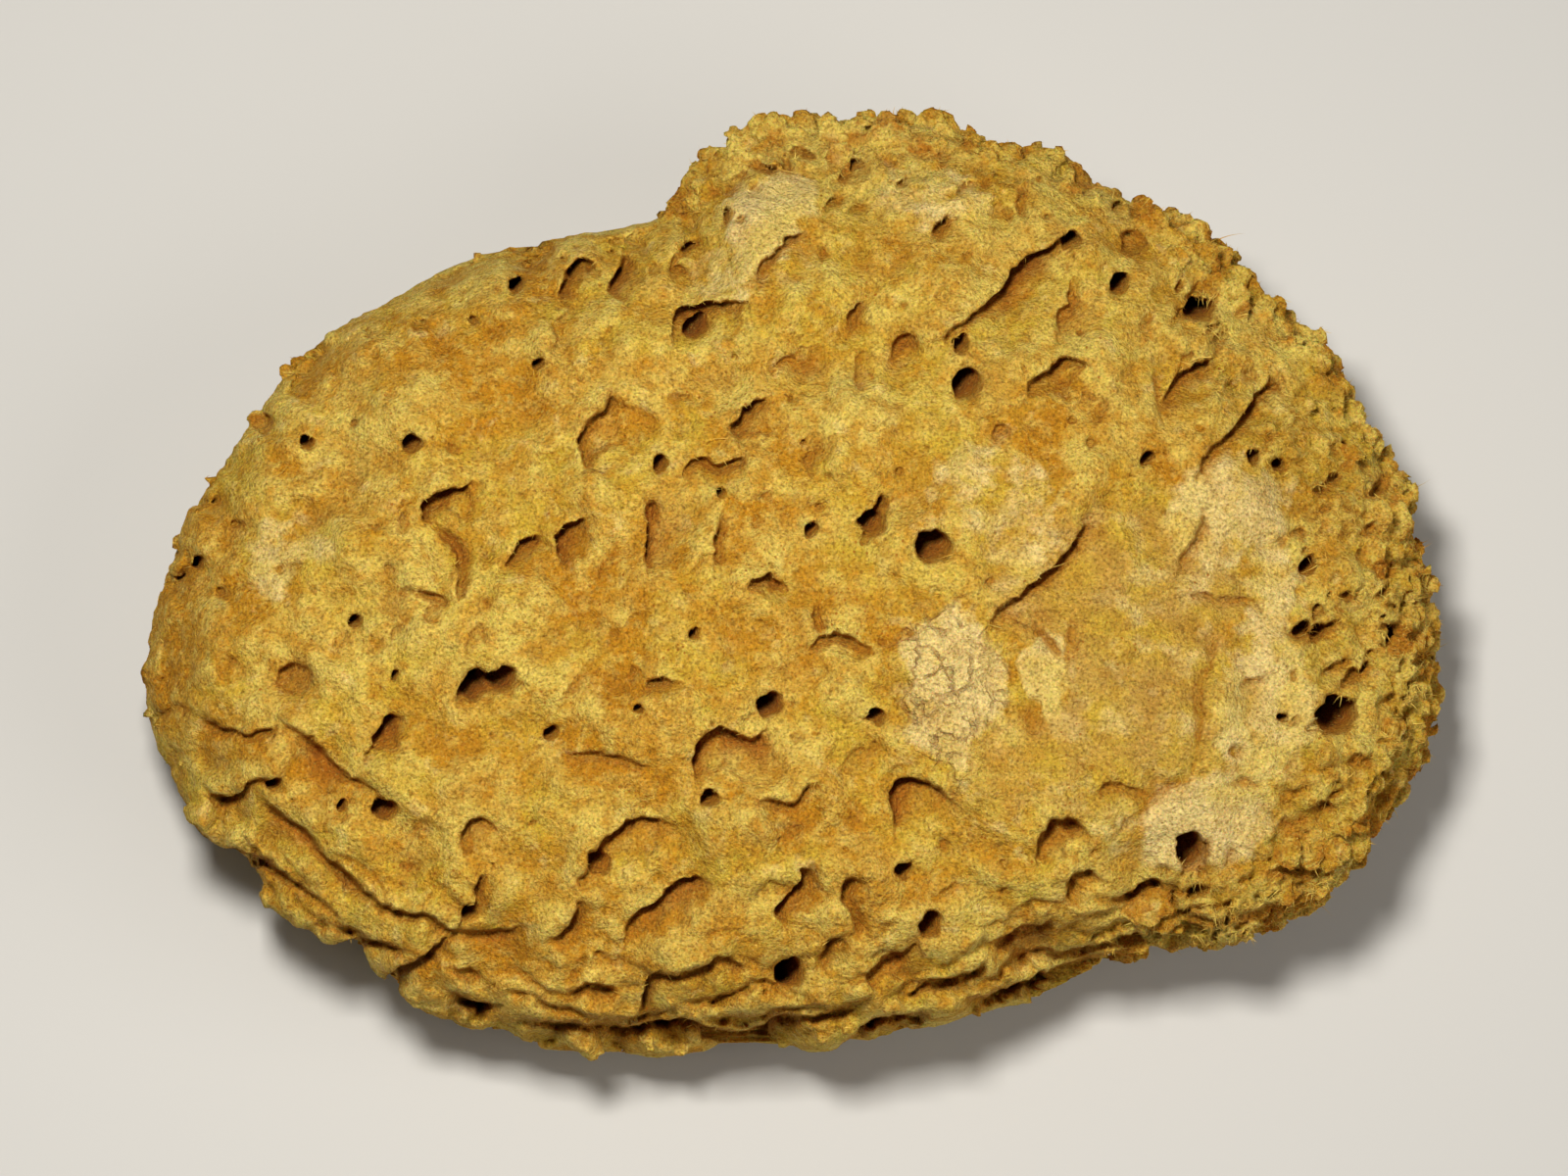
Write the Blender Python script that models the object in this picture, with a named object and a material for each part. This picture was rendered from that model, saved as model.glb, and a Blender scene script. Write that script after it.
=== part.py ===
"""A dried sea sponge: one grown body, cut flat underneath where it was taken off its rock.

Run it with blender --background --python part.py, or from Blender's text editor.
Metres, +Z up, +X along the length. The origin lies under the middle of the sponge, on the surface
that it rests on. Tables of places are in millimetres.
"""

import math
import random

import bmesh
import bpy
from mathutils import Matrix, Vector, noise
from mathutils.bvhtree import BVHTree

MM = 0.001

# Driving sizes of the body, in millimetres.
HEIGHT = 60.0
BELLY_HEIGHT = 22.0  # where the body is widest
BASE_REACH = 25.0  # how deep the lower half would go if its underside weren't cut flat
SHOULDER_POWER = 2.5  # 2 is an ellipse, more is boxier
FRONT_POWER = 3.2  # the front falls as a steeper wall

# The places of ledges and pits are read in a plane that leans back by this angle from level, and a
# line of sight square to that plane finds the surface. The plane's zero is over SIGHT_CENTRE.
LEAN = math.radians(14)
SIGHT_CENTRE = Vector((0.0, -1.5, 30.0))
SIGHT_HEIGHT = 200.0

# Lumps of the skin: wavelength and height.
SWELLS = ((38.0, 3.0), (15.0, 1.7))
WALL_LEAN = 2.2  # how steeply the lumps' direction turns upward with height
RIM_RIDGE_WAVE = 7.5
RIM_RIDGE_HEIGHT = 1.6
RIM_RIDGE_MEAN = 0.6  # the mean of a ridge's unit height, taken off so that the rim keeps its size

# The frilled rim: where it starts across the length and across the back lobe, and over what width.
FRILL_RIGHT, FRILL_RIGHT_WIDTH = 62.0, 22.0
FRILL_BACK, FRILL_BACK_WIDTH = 50.0, 12.0
LOBE_LEFT = -20.0

# The widest outline seen from above, anticlockwise from the right-hand end.
OUTLINE = (
    (99.5, -4.0), (97.0, 6.5), (94.5, 16.0), (89.5, 26.5), (82.0, 37.0), (72.0, 47.0),
    (61.0, 55.0), (49.5, 61.0), (45.0, 64.5), (35.5, 67.5), (22.5, 71.5), (10.5, 72.5),
    (-1.5, 72.5), (-10.0, 70.5), (-14.5, 65.5), (-17.5, 59.0), (-25.5, 55.5), (-37.5, 53.0),
    (-49.5, 51.0), (-63.0, 45.5), (-73.5, 38.0), (-81.0, 28.5), (-88.5, 17.5), (-96.0, 2.5),
    (-99.5, -9.5), (-98.5, -21.5), (-92.5, -34.5), (-85.5, -43.0), (-73.5, -53.0),
    (-61.5, -61.5), (-46.5, -66.5), (-30.0, -69.5), (-10.5, -70.0), (6.0, -69.0),
    (25.5, -64.5), (42.0, -60.0), (57.0, -55.5), (73.5, -52.0), (80.5, -48.5),
    (88.0, -38.0), (94.5, -28.0), (98.0, -15.5),
)

# Each ledge is a line along its lip, with the drop on the right-hand side as the line runs, then how
# deep the drop is and how far the floor runs before it is level with the skin again.
LEDGES = (
    # Crescents and flakes of the upper left.
    (((-30.5, 17.5), (-33.0, 21.0), (-32.5, 24.0), (-28.5, 29.5)), 3.5, 12),
    (((-9.5, 22.0), (-9.5, 24.0), (-6.0, 28.0), (-4.5, 29.0)), 4.0, 8),
    (((-17.0, 17.5), (-14.0, 20.0), (-11.5, 19.0), (-8.5, 20.0)), 2.5, 6),
    (((-18.5, 38.5), (-18.5, 41.0), (-16.5, 42.5), (-8.5, 43.5)), 4.0, 7),
    (((-6.5, 46.0), (-5.0, 49.5), (-2.0, 52.5), (2.0, 55.0)), 2.5, 8),
    (((-35.5, 43.5), (-35.0, 47.5), (-33.5, 50.0), (-31.5, 50.0)), 2.6, 7),
    # The long tear and the flaps of the upper right.
    (((22.5, 38.5), (26.0, 40.5), (30.0, 44.0), (35.5, 49.5), (42.5, 53.5)), 3.8, 10),
    (((56.5, 28.0), (58.0, 30.5), (60.0, 32.5), (64.0, 34.5)), 3.6, 8),
    (((35.5, 29.0), (36.5, 31.5), (38.5, 33.5), (42.5, 35.5), (45.0, 34.0)), 3.2, 9),
    (((61.5, 17.5), (66.5, 24.5), (70.0, 29.5), (74.0, 31.0)), 3.2, 8),
    # Pits and tears round the middle.
    (((-22.5, 2.5), (-22.5, 6.5), (-22.5, 12.0)), 3.0, 8),
    (((-35.5, 2.5), (-36.0, 6.5), (-35.0, 9.0), (-32.5, 10.5)), 4.0, 8),
    (((-7.5, -0.5), (-6.5, 1.0), (-4.0, 1.8), (-1.5, 0.0)), 4.0, 5),
    (((2.5, -10.0), (5.0, -8.0), (9.0, -8.0), (12.0, -9.5)), 2.8, 5),
    (((-15.0, -29.5), (-15.0, -26.0), (-11.5, -22.0), (-5.0, -23.5)), 4.5, 10),
    (((29.5, -6.5), (33.5, -2.0), (39.5, 3.0), (43.0, 7.0)), 3.2, 10),
    # The left end: the big hole, the pits beside it and the ear.
    (((-52.0, -17.5), (-51.5, -15.0), (-49.0, -13.0), (-44.0, -13.5), (-42.0, -15.5)), 8.0, 8),
    (((-65.0, -25.0), (-64.5, -22.5), (-63.0, -20.5), (-60.5, -20.5)), 5.0, 9),
    (((-55.5, 9.0), (-56.5, 12.0), (-54.5, 14.5), (-49.5, 15.5)), 5.0, 9),
    (((-90.0, -20.0), (-83.5, -22.5), (-78.5, -21.0)), 2.6, 8),
    (((-78.0, -21.5), (-70.0, -27.0), (-61.5, -33.0)), 2.6, 9),
    (((-89.5, -31.5), (-85.0, -32.5), (-82.5, -28.5), (-79.0, -30.5)), 2.6, 7),
    # Arches above the front wall.
    (((-33.5, -45.5), (-29.5, -40.5), (-26.0, -36.0), (-20.0, -36.0)), 4.2, 9),
    (((-26.0, -54.0), (-23.5, -49.5), (-18.5, -46.0), (-13.0, -45.5)), 3.4, 10),
    (((-2.0, -52.5), (-2.5, -49.5), (0.0, -46.5), (2.5, -43.0)), 4.6, 7),
    (((9.0, -53.5), (8.5, -50.5), (7.5, -47.5), (9.0, -44.5), (12.0, -44.5)), 3.0, 7),
    (((15.0, -37.5), (14.5, -33.0), (17.5, -30.0), (24.0, -32.5)), 4.2, 8),
    (((37.0, -42.0), (38.5, -36.5), (41.0, -35.5), (44.5, -37.5)), 4.6, 7),
    (((43.0, -49.0), (41.5, -46.0), (43.5, -43.5), (46.5, -45.0)), 2.6, 7),
    (((48.5, -48.0), (52.5, -46.0), (56.5, -46.5)), 3.0, 6),
    (((58.5, -43.0), (60.5, -40.5), (63.0, -38.5)), 6.0, 4),
    (((12.0, -62.0), (11.5, -58.5), (14.0, -56.5), (18.5, -54.5)), 3.0, 8),
    (((30.5, -56.0), (32.5, -54.0), (39.0, -51.5)), 2.8, 7),
    # Strata that run along the front wall.
    (((-81.0, -32.5), (-70.0, -42.0), (-61.5, -49.0), (-53.0, -52.5), (-42.0, -52.5)), 3.2, 9),
    (((-86.5, -37.0), (-79.0, -42.5), (-68.5, -50.5)), 2.8, 6),
    (((-64.0, -62.0), (-58.0, -57.5), (-52.0, -53.0)), 3.6, 8),
    (((-41.0, -66.0), (-27.0, -67.0), (-14.0, -67.0), (-3.0, -66.0), (12.0, -63.0)), 3.2, 5),
    (((-24.0, -64.5), (-20.5, -59.0), (-14.0, -58.0), (-7.5, -58.5)), 3.6, 8),
    (((17.0, -62.5), (23.5, -60.0), (34.0, -60.5), (42.0, -58.0)), 3.0, 5),
)

# Each pit is the middle of its mouth, its mouth's radius and its depth.
PITS = (
    ((-74.5, 21.5), 1.3, 9), ((-58.5, 21.0), 1.4, 8), ((-20.5, 18.0), 1.3, 7),
    ((-42.0, 45.5), 1.3, 6), ((27.0, 30.5), 1.9, 8), ((21.0, 5.7), 2.5, 10),
    ((12.0, 9.5), 1.9, 10), ((-3.0, -19.0), 2.0, 9), ((-76.5, -14.5), 2.7, 3),
    ((12.5, -20.5), 1.3, 8), ((-12.5, -33.0), 1.4, 8), ((-29.5, -42.3), 1.6, 8),
    ((21.0, -51.8), 1.9, 8), ((17.0, -43.8), 1.4, 8), ((0.0, -59.5), 1.9, 7),
    ((83.0, -20.3), 2.9, 7), ((77.5, -7.0), 1.5, 7), ((79.0, 2.3), 1.5, 5),
    ((90.0, 2.7), 1.5, 6), ((50.0, 46.2), 1.5, 8), ((62.5, 42.0), 2.1, 9),
    ((52.0, 52.0), 1.8, 7), ((-62.5, -34.5), 1.8, 7),
)

# Ledges and pits of the side wall and the cut underside, set out round the body by their bearing.
WALL_SEED = 11
WALL_LEDGES = 11
LEDGE_HEIGHTS = (12.0, 36.0)
LEDGE_LENGTHS = (20.0, 38.0)
LEDGE_RISE = 3.0
LEDGE_DEPTHS = (2.6, 4.0)
LEDGE_REACHES = (6.0, 9.0)
WALL_PITS = 14
PIT_HEIGHTS = (10.0, 40.0)
PIT_RADII = (1.4, 2.6)
PIT_DEPTHS = (5.0, 8.0)
UNDERSIDE_PITS = 6
UNDERSIDE_RING = (15.0, 30.0)  # how far out they lie: the flat middle of the underside stays whole
UNDERSIDE_STRETCH = (1.2, 0.9)

# How a ledge and a pit are cut.
LINE_SPACING = 4.5  # between the sections of a ledge
EDGE_PULL = 0.99
LOCAL_SHARE = 0.45  # how far each section turns with its line from the ledge's common side
END_DEPTH = 0.3  # share of the depth that is left at the ends of a ledge
UNDERCUT = 0.3  # how far the wall leans in under its lip, as a share of the depth
ABOVE = 4.0  # a cutter stands this far out of the skin
FLOOR_START = 0.25  # where the floor starts to rise, as a share of the reach
FLOOR_DEPTH = 0.9
FLOOR_END = 0.2  # a cutter's floor ends this far outside the skin
FLARE = 0.1  # a pit is wider at its foot and narrower at its mouth by this share
PIT_SIDES = 7
BODY_SHARE = 0.8  # share of the ball's triangles that the smooth body keeps

WELD_DISTANCE = 0.0001  # points of the cut skin closer than this become one

SKIN_COLOUR = (0.58, 0.34, 0.07, 1.0)
SKIN_ROUGHNESS = 0.95


def clear_scene():
    """Removes the startup objects."""
    for obj in list(bpy.data.objects):
        bpy.data.objects.remove(obj)


def new_collection(name):
    """A collection in the scene, for the part or for its cutters."""
    collection = bpy.data.collections.new(name)
    bpy.context.scene.collection.children.link(collection)
    return collection


def polar_outline():
    """The outline's points as (bearing, radius), in the order of their bearing."""
    return sorted((math.atan2(y, x), math.hypot(x, y)) for x, y in OUTLINE)


POLAR = polar_outline()


def outline_radius(bearing):
    """Radius of the widest outline at a bearing, by a Catmull-Rom curve through its points."""
    count = len(POLAR)
    after = next((i for i, (angle, _) in enumerate(POLAR) if angle > bearing), count)

    def knot(index):
        turns, place = divmod(index, count)
        return POLAR[place][0] + turns * math.tau, POLAR[place][1]

    (_, r0), (a1, r1), (a2, r2), (_, r3) = (knot(after + step) for step in (-2, -1, 0, 1))
    t = (bearing - a1) / (a2 - a1)
    return 0.5 * (
        2 * r1 + (r2 - r0) * t + (2 * r0 - 5 * r1 + 4 * r2 - r3) * t * t
        + (3 * r1 - r0 - 3 * r2 + r3) * t**3
    )


def rim_share(x, y):
    """1 on the frilled right-hand rim and back lobe, falling to 0 over the smooth rest."""
    right = (x - FRILL_RIGHT) / FRILL_RIGHT_WIDTH
    lobe = (y - FRILL_BACK) / FRILL_BACK_WIDTH if x > LOBE_LEFT else 0.0
    return max(0.0, min(1.0, max(right, lobe)))


def body_point(direction):
    """Where the body's skin lies along a direction from its middle, in millimetres."""
    flat = math.hypot(direction.x, direction.y)
    bearing = math.atan2(direction.y, direction.x)
    toward_front = max(0.0, -math.sin(bearing))
    power = SHOULDER_POWER + (FRONT_POWER - SHOULDER_POWER) * toward_front
    grow = (flat**power + abs(direction.z) ** power) ** (-1 / power)
    radius = outline_radius(bearing) * grow * flat
    rise = (HEIGHT - BELLY_HEIGHT) if direction.z > 0 else BASE_REACH
    point = Vector((
        radius * math.cos(bearing),
        radius * math.sin(bearing),
        BELLY_HEIGHT + rise * grow * direction.z,
    ))
    outward = Vector((point.x, point.y, WALL_LEAN * (point.z - BELLY_HEIGHT))).normalized()
    for wave, height in SWELLS:
        point += outward * height * noise.noise(point / wave)
    ridge = 1.0 - 2.0 * abs(noise.noise(point / RIM_RIDGE_WAVE))
    point += outward * RIM_RIDGE_HEIGHT * rim_share(point.x, point.y) * (ridge - RIM_RIDGE_MEAN)
    point.z = max(0.0, point.z)
    return point


def make_body(collection):
    """The body before any cut: a ball of triangles drawn out to the sponge's form."""
    mesh = bpy.data.meshes.new("sponge")
    work = bmesh.new()
    bmesh.ops.create_icosphere(work, subdivisions=5, radius=1.0)
    for vertex in work.verts:
        vertex.co = body_point(vertex.co.normalized()) * MM
    inner = [
        v for v in work.verts
        if v.co.z == 0.0 and all(e.other_vert(v).co.z == 0.0 for e in v.link_edges)
    ]
    bmesh.ops.dissolve_verts(work, verts=inner)
    work.to_mesh(mesh)
    work.free()
    body = bpy.data.objects.new("sponge", mesh)
    collection.objects.link(body)
    thin = body.modifiers.new("Fewer triangles", "DECIMATE")
    thin.ratio = BODY_SHARE
    bake(body)
    return body


def seen_at(tree, place):
    """The point and outward normal where the line of sight through a place meets the skin.

    A place beyond the edge of the sponge is drawn in toward the middle until it meets the skin.
    """
    up = Vector((0.0, math.cos(LEAN), math.sin(LEAN)))
    toward_eye = Vector((0.0, -math.sin(LEAN), math.cos(LEAN)))
    across, along = place
    point = None
    while point is None:
        start = SIGHT_CENTRE + Vector((across, 0.0, 0.0)) + up * along
        point, normal, _, _ = tree.ray_cast((start + toward_eye * SIGHT_HEIGHT) * MM, -toward_eye)
        across *= EDGE_PULL
        along *= EDGE_PULL
    return point / MM, normal


def wall_at(tree, bearing, height):
    """The point and outward normal of the side wall at a bearing and a height."""
    outward = Vector((math.cos(bearing), math.sin(bearing), 0.0))
    start = Vector((0.0, 0.0, height)) + outward * SIGHT_HEIGHT
    point, normal, _, _ = tree.ray_cast(start * MM, -outward)
    return point / MM, normal


def smooth_line(points, spacing):
    """Places at an even spacing on a Catmull-Rom curve through the given ones."""
    points = [Vector(point) for point in points]
    places = []
    for i in range(len(points) - 1):
        p0, p1 = points[max(0, i - 1)], points[i]
        p2, p3 = points[i + 1], points[min(len(points) - 1, i + 2)]
        steps = max(1, round((p2 - p1).length / spacing))
        for step in range(steps):
            t = step / steps
            places.append(0.5 * (
                2 * p1 + (p2 - p0) * t + (2 * p0 - 5 * p1 + 4 * p2 - p3) * t * t
                + (3 * p1 - p0 - 3 * p2 + p3) * t**3
            ))
    return places + [points[-1]]


def add_cutter(name, mesh, collection):
    """A cutter object, which isn't part of the sponge."""
    cutter = bpy.data.objects.new(name, mesh)
    cutter.hide_render = True
    cutter.display_type = "WIRE"
    collection.objects.link(cutter)
    return cutter


def loft(name, rings):
    """A closed mesh through rings of equally many points, with a cap at each end."""
    work = bmesh.new()
    made = [[work.verts.new(point * MM) for point in ring] for ring in rings]
    for ring, following in zip(made, made[1:]):
        for i in range(len(ring)):
            j = (i + 1) % len(ring)
            work.faces.new((ring[i], ring[j], following[j], following[i]))
    work.faces.new(made[0])
    work.faces.new(reversed(made[-1]))
    bmesh.ops.recalc_face_normals(work, faces=work.faces)
    mesh = bpy.data.meshes.new(name)
    work.to_mesh(mesh)
    work.free()
    return mesh


def ledge_cutter(name, found, depth, reach, collection):
    """What is missing below a lip: a wall that leans in under the lip, and a floor that rises."""
    last = len(found) - 1
    ways = [
        (found[min(last, i + 1)][0] - found[max(0, i - 1)][0]).normalized()
        for i in range(last + 1)
    ]
    sides = [way.cross(normal).normalized() for way, (_, normal) in zip(ways, found)]
    common = sum(sides, Vector()).normalized()
    rings = []
    for i, (point, normal) in enumerate(found):
        side = (common + sides[i] * LOCAL_SHARE).normalized()
        side = (side - normal * side.dot(normal)).normalized()
        full = END_DEPTH + (1 - END_DEPTH) * math.sin(math.pi * i / last) ** 0.5
        deep, far = depth * full, reach * (1 + full) / 2
        profile = (
            (0.0, -ABOVE), (0.0, 0.0), (-UNDERCUT * deep, deep),
            (FLOOR_START * far, FLOOR_DEPTH * deep), (far, -FLOOR_END), (far, -ABOVE),
        )
        rings.append([point + side * across - normal * down for across, down in profile])
    return add_cutter(name, loft(name, rings), collection)


def pit_cutter(name, point, normal, radius, depth, collection):
    """A pit that widens a little below its mouth."""
    inward = -normal
    work = bmesh.new()
    bmesh.ops.create_cone(
        work, cap_ends=True, segments=PIT_SIDES, radius1=radius * (1 + FLARE), radius2=radius * (1 - FLARE),
        depth=depth + ABOVE,
    )
    mesh = bpy.data.meshes.new(name)
    work.to_mesh(mesh)
    work.free()
    mesh.transform(Matrix.Scale(MM, 4))
    cutter = add_cutter(name, mesh, collection)
    cutter.rotation_mode = "QUATERNION"
    cutter.rotation_quaternion = inward.to_track_quat("-Z", "Y")
    cutter.location = (point + inward * 0.5 * (depth - ABOVE)) * MM
    return cutter


def wall_features(tree, collection):
    """Ledges and pits round the side wall, and pits in the underside, where no place was read."""
    chance = random.Random(WALL_SEED)
    for i in range(WALL_LEDGES):
        middle = math.tau * (i + chance.uniform(0.1, 0.9)) / WALL_LEDGES
        height = chance.uniform(*LEDGE_HEIGHTS)
        length = chance.uniform(*LEDGE_LENGTHS)
        turn = length / outline_radius((middle + math.pi) % math.tau - math.pi)
        rise = chance.uniform(-LEDGE_RISE, LEDGE_RISE)
        steps = round(length / LINE_SPACING)
        # The line runs clockwise seen from above, so that the drop is on its lower side.
        found = [
            wall_at(tree, middle + turn * (0.5 - step / steps),
                    height + rise * math.sin(math.pi * step / steps))
            for step in range(steps + 1)
        ]
        ledge_cutter(f"wall_ledge_{i}", found, chance.uniform(*LEDGE_DEPTHS),
                     chance.uniform(*LEDGE_REACHES), collection)
    for i in range(WALL_PITS):
        bearing = math.tau * (i + chance.uniform(0.2, 0.8)) / WALL_PITS
        point, normal = wall_at(tree, bearing, chance.uniform(*PIT_HEIGHTS))
        pit_cutter(f"wall_pit_{i}", point, normal, chance.uniform(*PIT_RADII),
                   chance.uniform(*PIT_DEPTHS), collection)
    for i in range(UNDERSIDE_PITS):
        bearing = math.tau * (i + chance.uniform(0.2, 0.8)) / UNDERSIDE_PITS
        out = chance.uniform(*UNDERSIDE_RING)
        along, across = UNDERSIDE_STRETCH
        point = Vector((along * out * math.cos(bearing), across * out * math.sin(bearing), 0.0))
        pit_cutter(f"underside_pit_{i}", point, Vector((0, 0, -1)), chance.uniform(*PIT_RADII),
                   chance.uniform(*PIT_DEPTHS), collection)


def bake(body):
    """Makes what the modifiers give the object's own mesh."""
    bpy.context.view_layer.update()
    graph = bpy.context.evaluated_depsgraph_get()
    mesh = bpy.data.meshes.new_from_object(body.evaluated_get(graph))
    body.modifiers.clear()
    body.data = mesh
    mesh.name = "sponge"


def cut(body, cutters):
    """Takes the cutters out of the body."""
    boolean = body.modifiers.new("Pits and ledges", "BOOLEAN")
    boolean.operation = "DIFFERENCE"
    boolean.solver = "EXACT"
    boolean.operand_type = "COLLECTION"
    boolean.collection = cutters
    bake(body)


def keep_largest_piece(mesh):
    """Removes crumbs that a cut has parted from the body, or left hanging on it by one edge."""
    work = bmesh.new()
    work.from_mesh(mesh)
    bmesh.ops.triangulate(work, faces=work.faces)
    bmesh.ops.remove_doubles(work, verts=work.verts, dist=WELD_DISTANCE)
    bmesh.ops.dissolve_degenerate(work, edges=work.edges, dist=WELD_DISTANCE)
    bmesh.ops.triangulate(work, faces=work.faces)
    left = set(work.faces)
    islands = []
    while left:
        reached = [left.pop()]
        for face in reached:
            for edge in face.edges:
                if len(edge.link_faces) != 2:
                    continue
                for other in edge.link_faces:
                    if other in left:
                        left.remove(other)
                        reached.append(other)
        islands.append(reached)
    largest = max(islands, key=len)
    crumbs = [face for island in islands if island is not largest for face in island]
    bmesh.ops.delete(work, geom=crumbs, context="FACES")
    work.to_mesh(mesh)
    work.free()


def centre(mesh):
    """Sets the box's middle over the origin."""
    xs = [v.co.x for v in mesh.vertices]
    ys = [v.co.y for v in mesh.vertices]
    middle = Vector(((min(xs) + max(xs)) / 2, (min(ys) + max(ys)) / 2, 0.0))
    for vertex in mesh.vertices:
        vertex.co -= middle


def skin_material():
    """Dry golden sponge."""
    material = bpy.data.materials.new("sponge_skin")
    material.use_nodes = True
    shader = material.node_tree.nodes["Principled BSDF"]
    shader.inputs["Base Color"].default_value = SKIN_COLOUR
    shader.inputs["Roughness"].default_value = SKIN_ROUGHNESS
    shader.inputs["Metallic"].default_value = 0.0
    return material


def main():
    clear_scene()
    part = new_collection("sea_sponge")
    cutters = new_collection("cutters")
    body = make_body(part)
    tree = BVHTree.FromPolygons(
        [v.co.copy() for v in body.data.vertices], [p.vertices for p in body.data.polygons]
    )
    for i, (line, depth, reach) in enumerate(LEDGES):
        found = [seen_at(tree, place) for place in smooth_line(line, LINE_SPACING)]
        ledge_cutter(f"ledge_{i}", found, depth, reach, cutters)
    for i, (place, radius, depth) in enumerate(PITS):
        point, normal = seen_at(tree, place)
        pit_cutter(f"pit_{i}", point, normal, radius, depth, cutters)
    wall_features(tree, cutters)
    cut(body, cutters)
    keep_largest_piece(body.data)
    centre(body.data)
    body.data.materials.clear()
    body.data.materials.append(skin_material())


main()
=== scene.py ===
"""A dried golden sea sponge, dressed: its pores, ledges, flaking crust and felt, on a pale floor.

Lengths are in millimetres until a mesh is made, and Blender's metres after that.
"""

import math

import bmesh
import bpy
import numpy as np
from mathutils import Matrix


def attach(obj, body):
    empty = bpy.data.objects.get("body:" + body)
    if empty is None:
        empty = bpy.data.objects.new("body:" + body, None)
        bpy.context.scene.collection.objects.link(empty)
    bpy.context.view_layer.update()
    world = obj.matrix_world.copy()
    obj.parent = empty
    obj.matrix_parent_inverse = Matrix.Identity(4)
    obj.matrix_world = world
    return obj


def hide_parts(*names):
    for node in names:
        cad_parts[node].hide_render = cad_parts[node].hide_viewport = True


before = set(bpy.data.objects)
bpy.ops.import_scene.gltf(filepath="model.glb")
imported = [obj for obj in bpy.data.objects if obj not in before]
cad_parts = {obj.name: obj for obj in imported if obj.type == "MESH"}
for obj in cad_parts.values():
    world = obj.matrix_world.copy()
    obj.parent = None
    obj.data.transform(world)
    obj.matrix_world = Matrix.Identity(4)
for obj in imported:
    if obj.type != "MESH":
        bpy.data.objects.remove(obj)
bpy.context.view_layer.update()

import openvdb
from mathutils import Matrix, Vector, noise
from mathutils.bvhtree import BVHTree

MM = 0.001

# The body, by the same sizes as the solid.

HEIGHT = 60.0
BELLY_HEIGHT = 22.0  # of the widest line
BASE_REACH = 25.0  # the half ellipsoid below the widest line, before the cut
SHOULDER_POWER = 2.5  # 2 is round from the side, and more is squarer
FRONT_POWER = 3.2
SWELLS = ((38.0, 3.0), (15.0, 1.7))  # wavelength and height
WALL_LEAN = 2.2
RIM_RIDGE_WAVE = 7.5
RIM_RIDGE_HEIGHT = 1.6
RIM_RIDGE_MEAN = 0.6
FRILL_RIGHT, FRILL_RIGHT_WIDTH = 62.0, 22.0
FRILL_BACK, FRILL_BACK_WIDTH = 50.0, 12.0
LOBE_LEFT = -20.0

OUTLINE = (  # the widest line, as places across and back
    (99.5, -4.0), (97.0, 6.5), (94.5, 16.0), (89.5, 26.5), (82.0, 37.0), (72.0, 47.0),
    (61.0, 55.0), (49.5, 61.0), (45.0, 64.5), (35.5, 67.5), (22.5, 71.5), (10.5, 72.5),
    (-1.5, 72.5), (-10.0, 70.5), (-14.5, 65.5), (-17.5, 59.0), (-25.5, 55.5), (-37.5, 53.0),
    (-49.5, 51.0), (-63.0, 45.5), (-73.5, 38.0), (-81.0, 28.5), (-88.5, 17.5), (-96.0, 2.5),
    (-99.5, -9.5), (-98.5, -21.5), (-92.5, -34.5), (-85.5, -43.0), (-73.5, -53.0),
    (-61.5, -61.5), (-46.5, -66.5), (-30.0, -69.5), (-10.5, -70.0), (6.0, -69.0),
    (25.5, -64.5), (42.0, -60.0), (57.0, -55.5), (73.5, -52.0), (80.5, -48.5),
    (88.0, -38.0), (94.5, -28.0), (98.0, -15.5),
)

# The plane that the places of pits and ledges are measured in. It leans back by LEAN from level.
# Its zero is over SIGHT_CENTRE, and its third axis points at the eye, which is EYE_DISTANCE away.

LEAN = math.radians(14)
SIGHT_CENTRE = np.array((0.0, -1.5, 30.0))
EYE_DISTANCE = 900.0
SEEN_DEPTH, SEEN_RISE = 0.99, 1.5  # the outline's scale from front to back and its rise, as seen
ACROSS = np.array((1.0, 0.0, 0.0))
UPWARD = np.array((0.0, math.cos(LEAN), math.sin(LEAN)))
TOWARD_EYE = np.array((0.0, -math.sin(LEAN), math.cos(LEAN)))

# Ledges: the line of the lip with the drop on its right, depth, reach of the floor.

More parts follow.
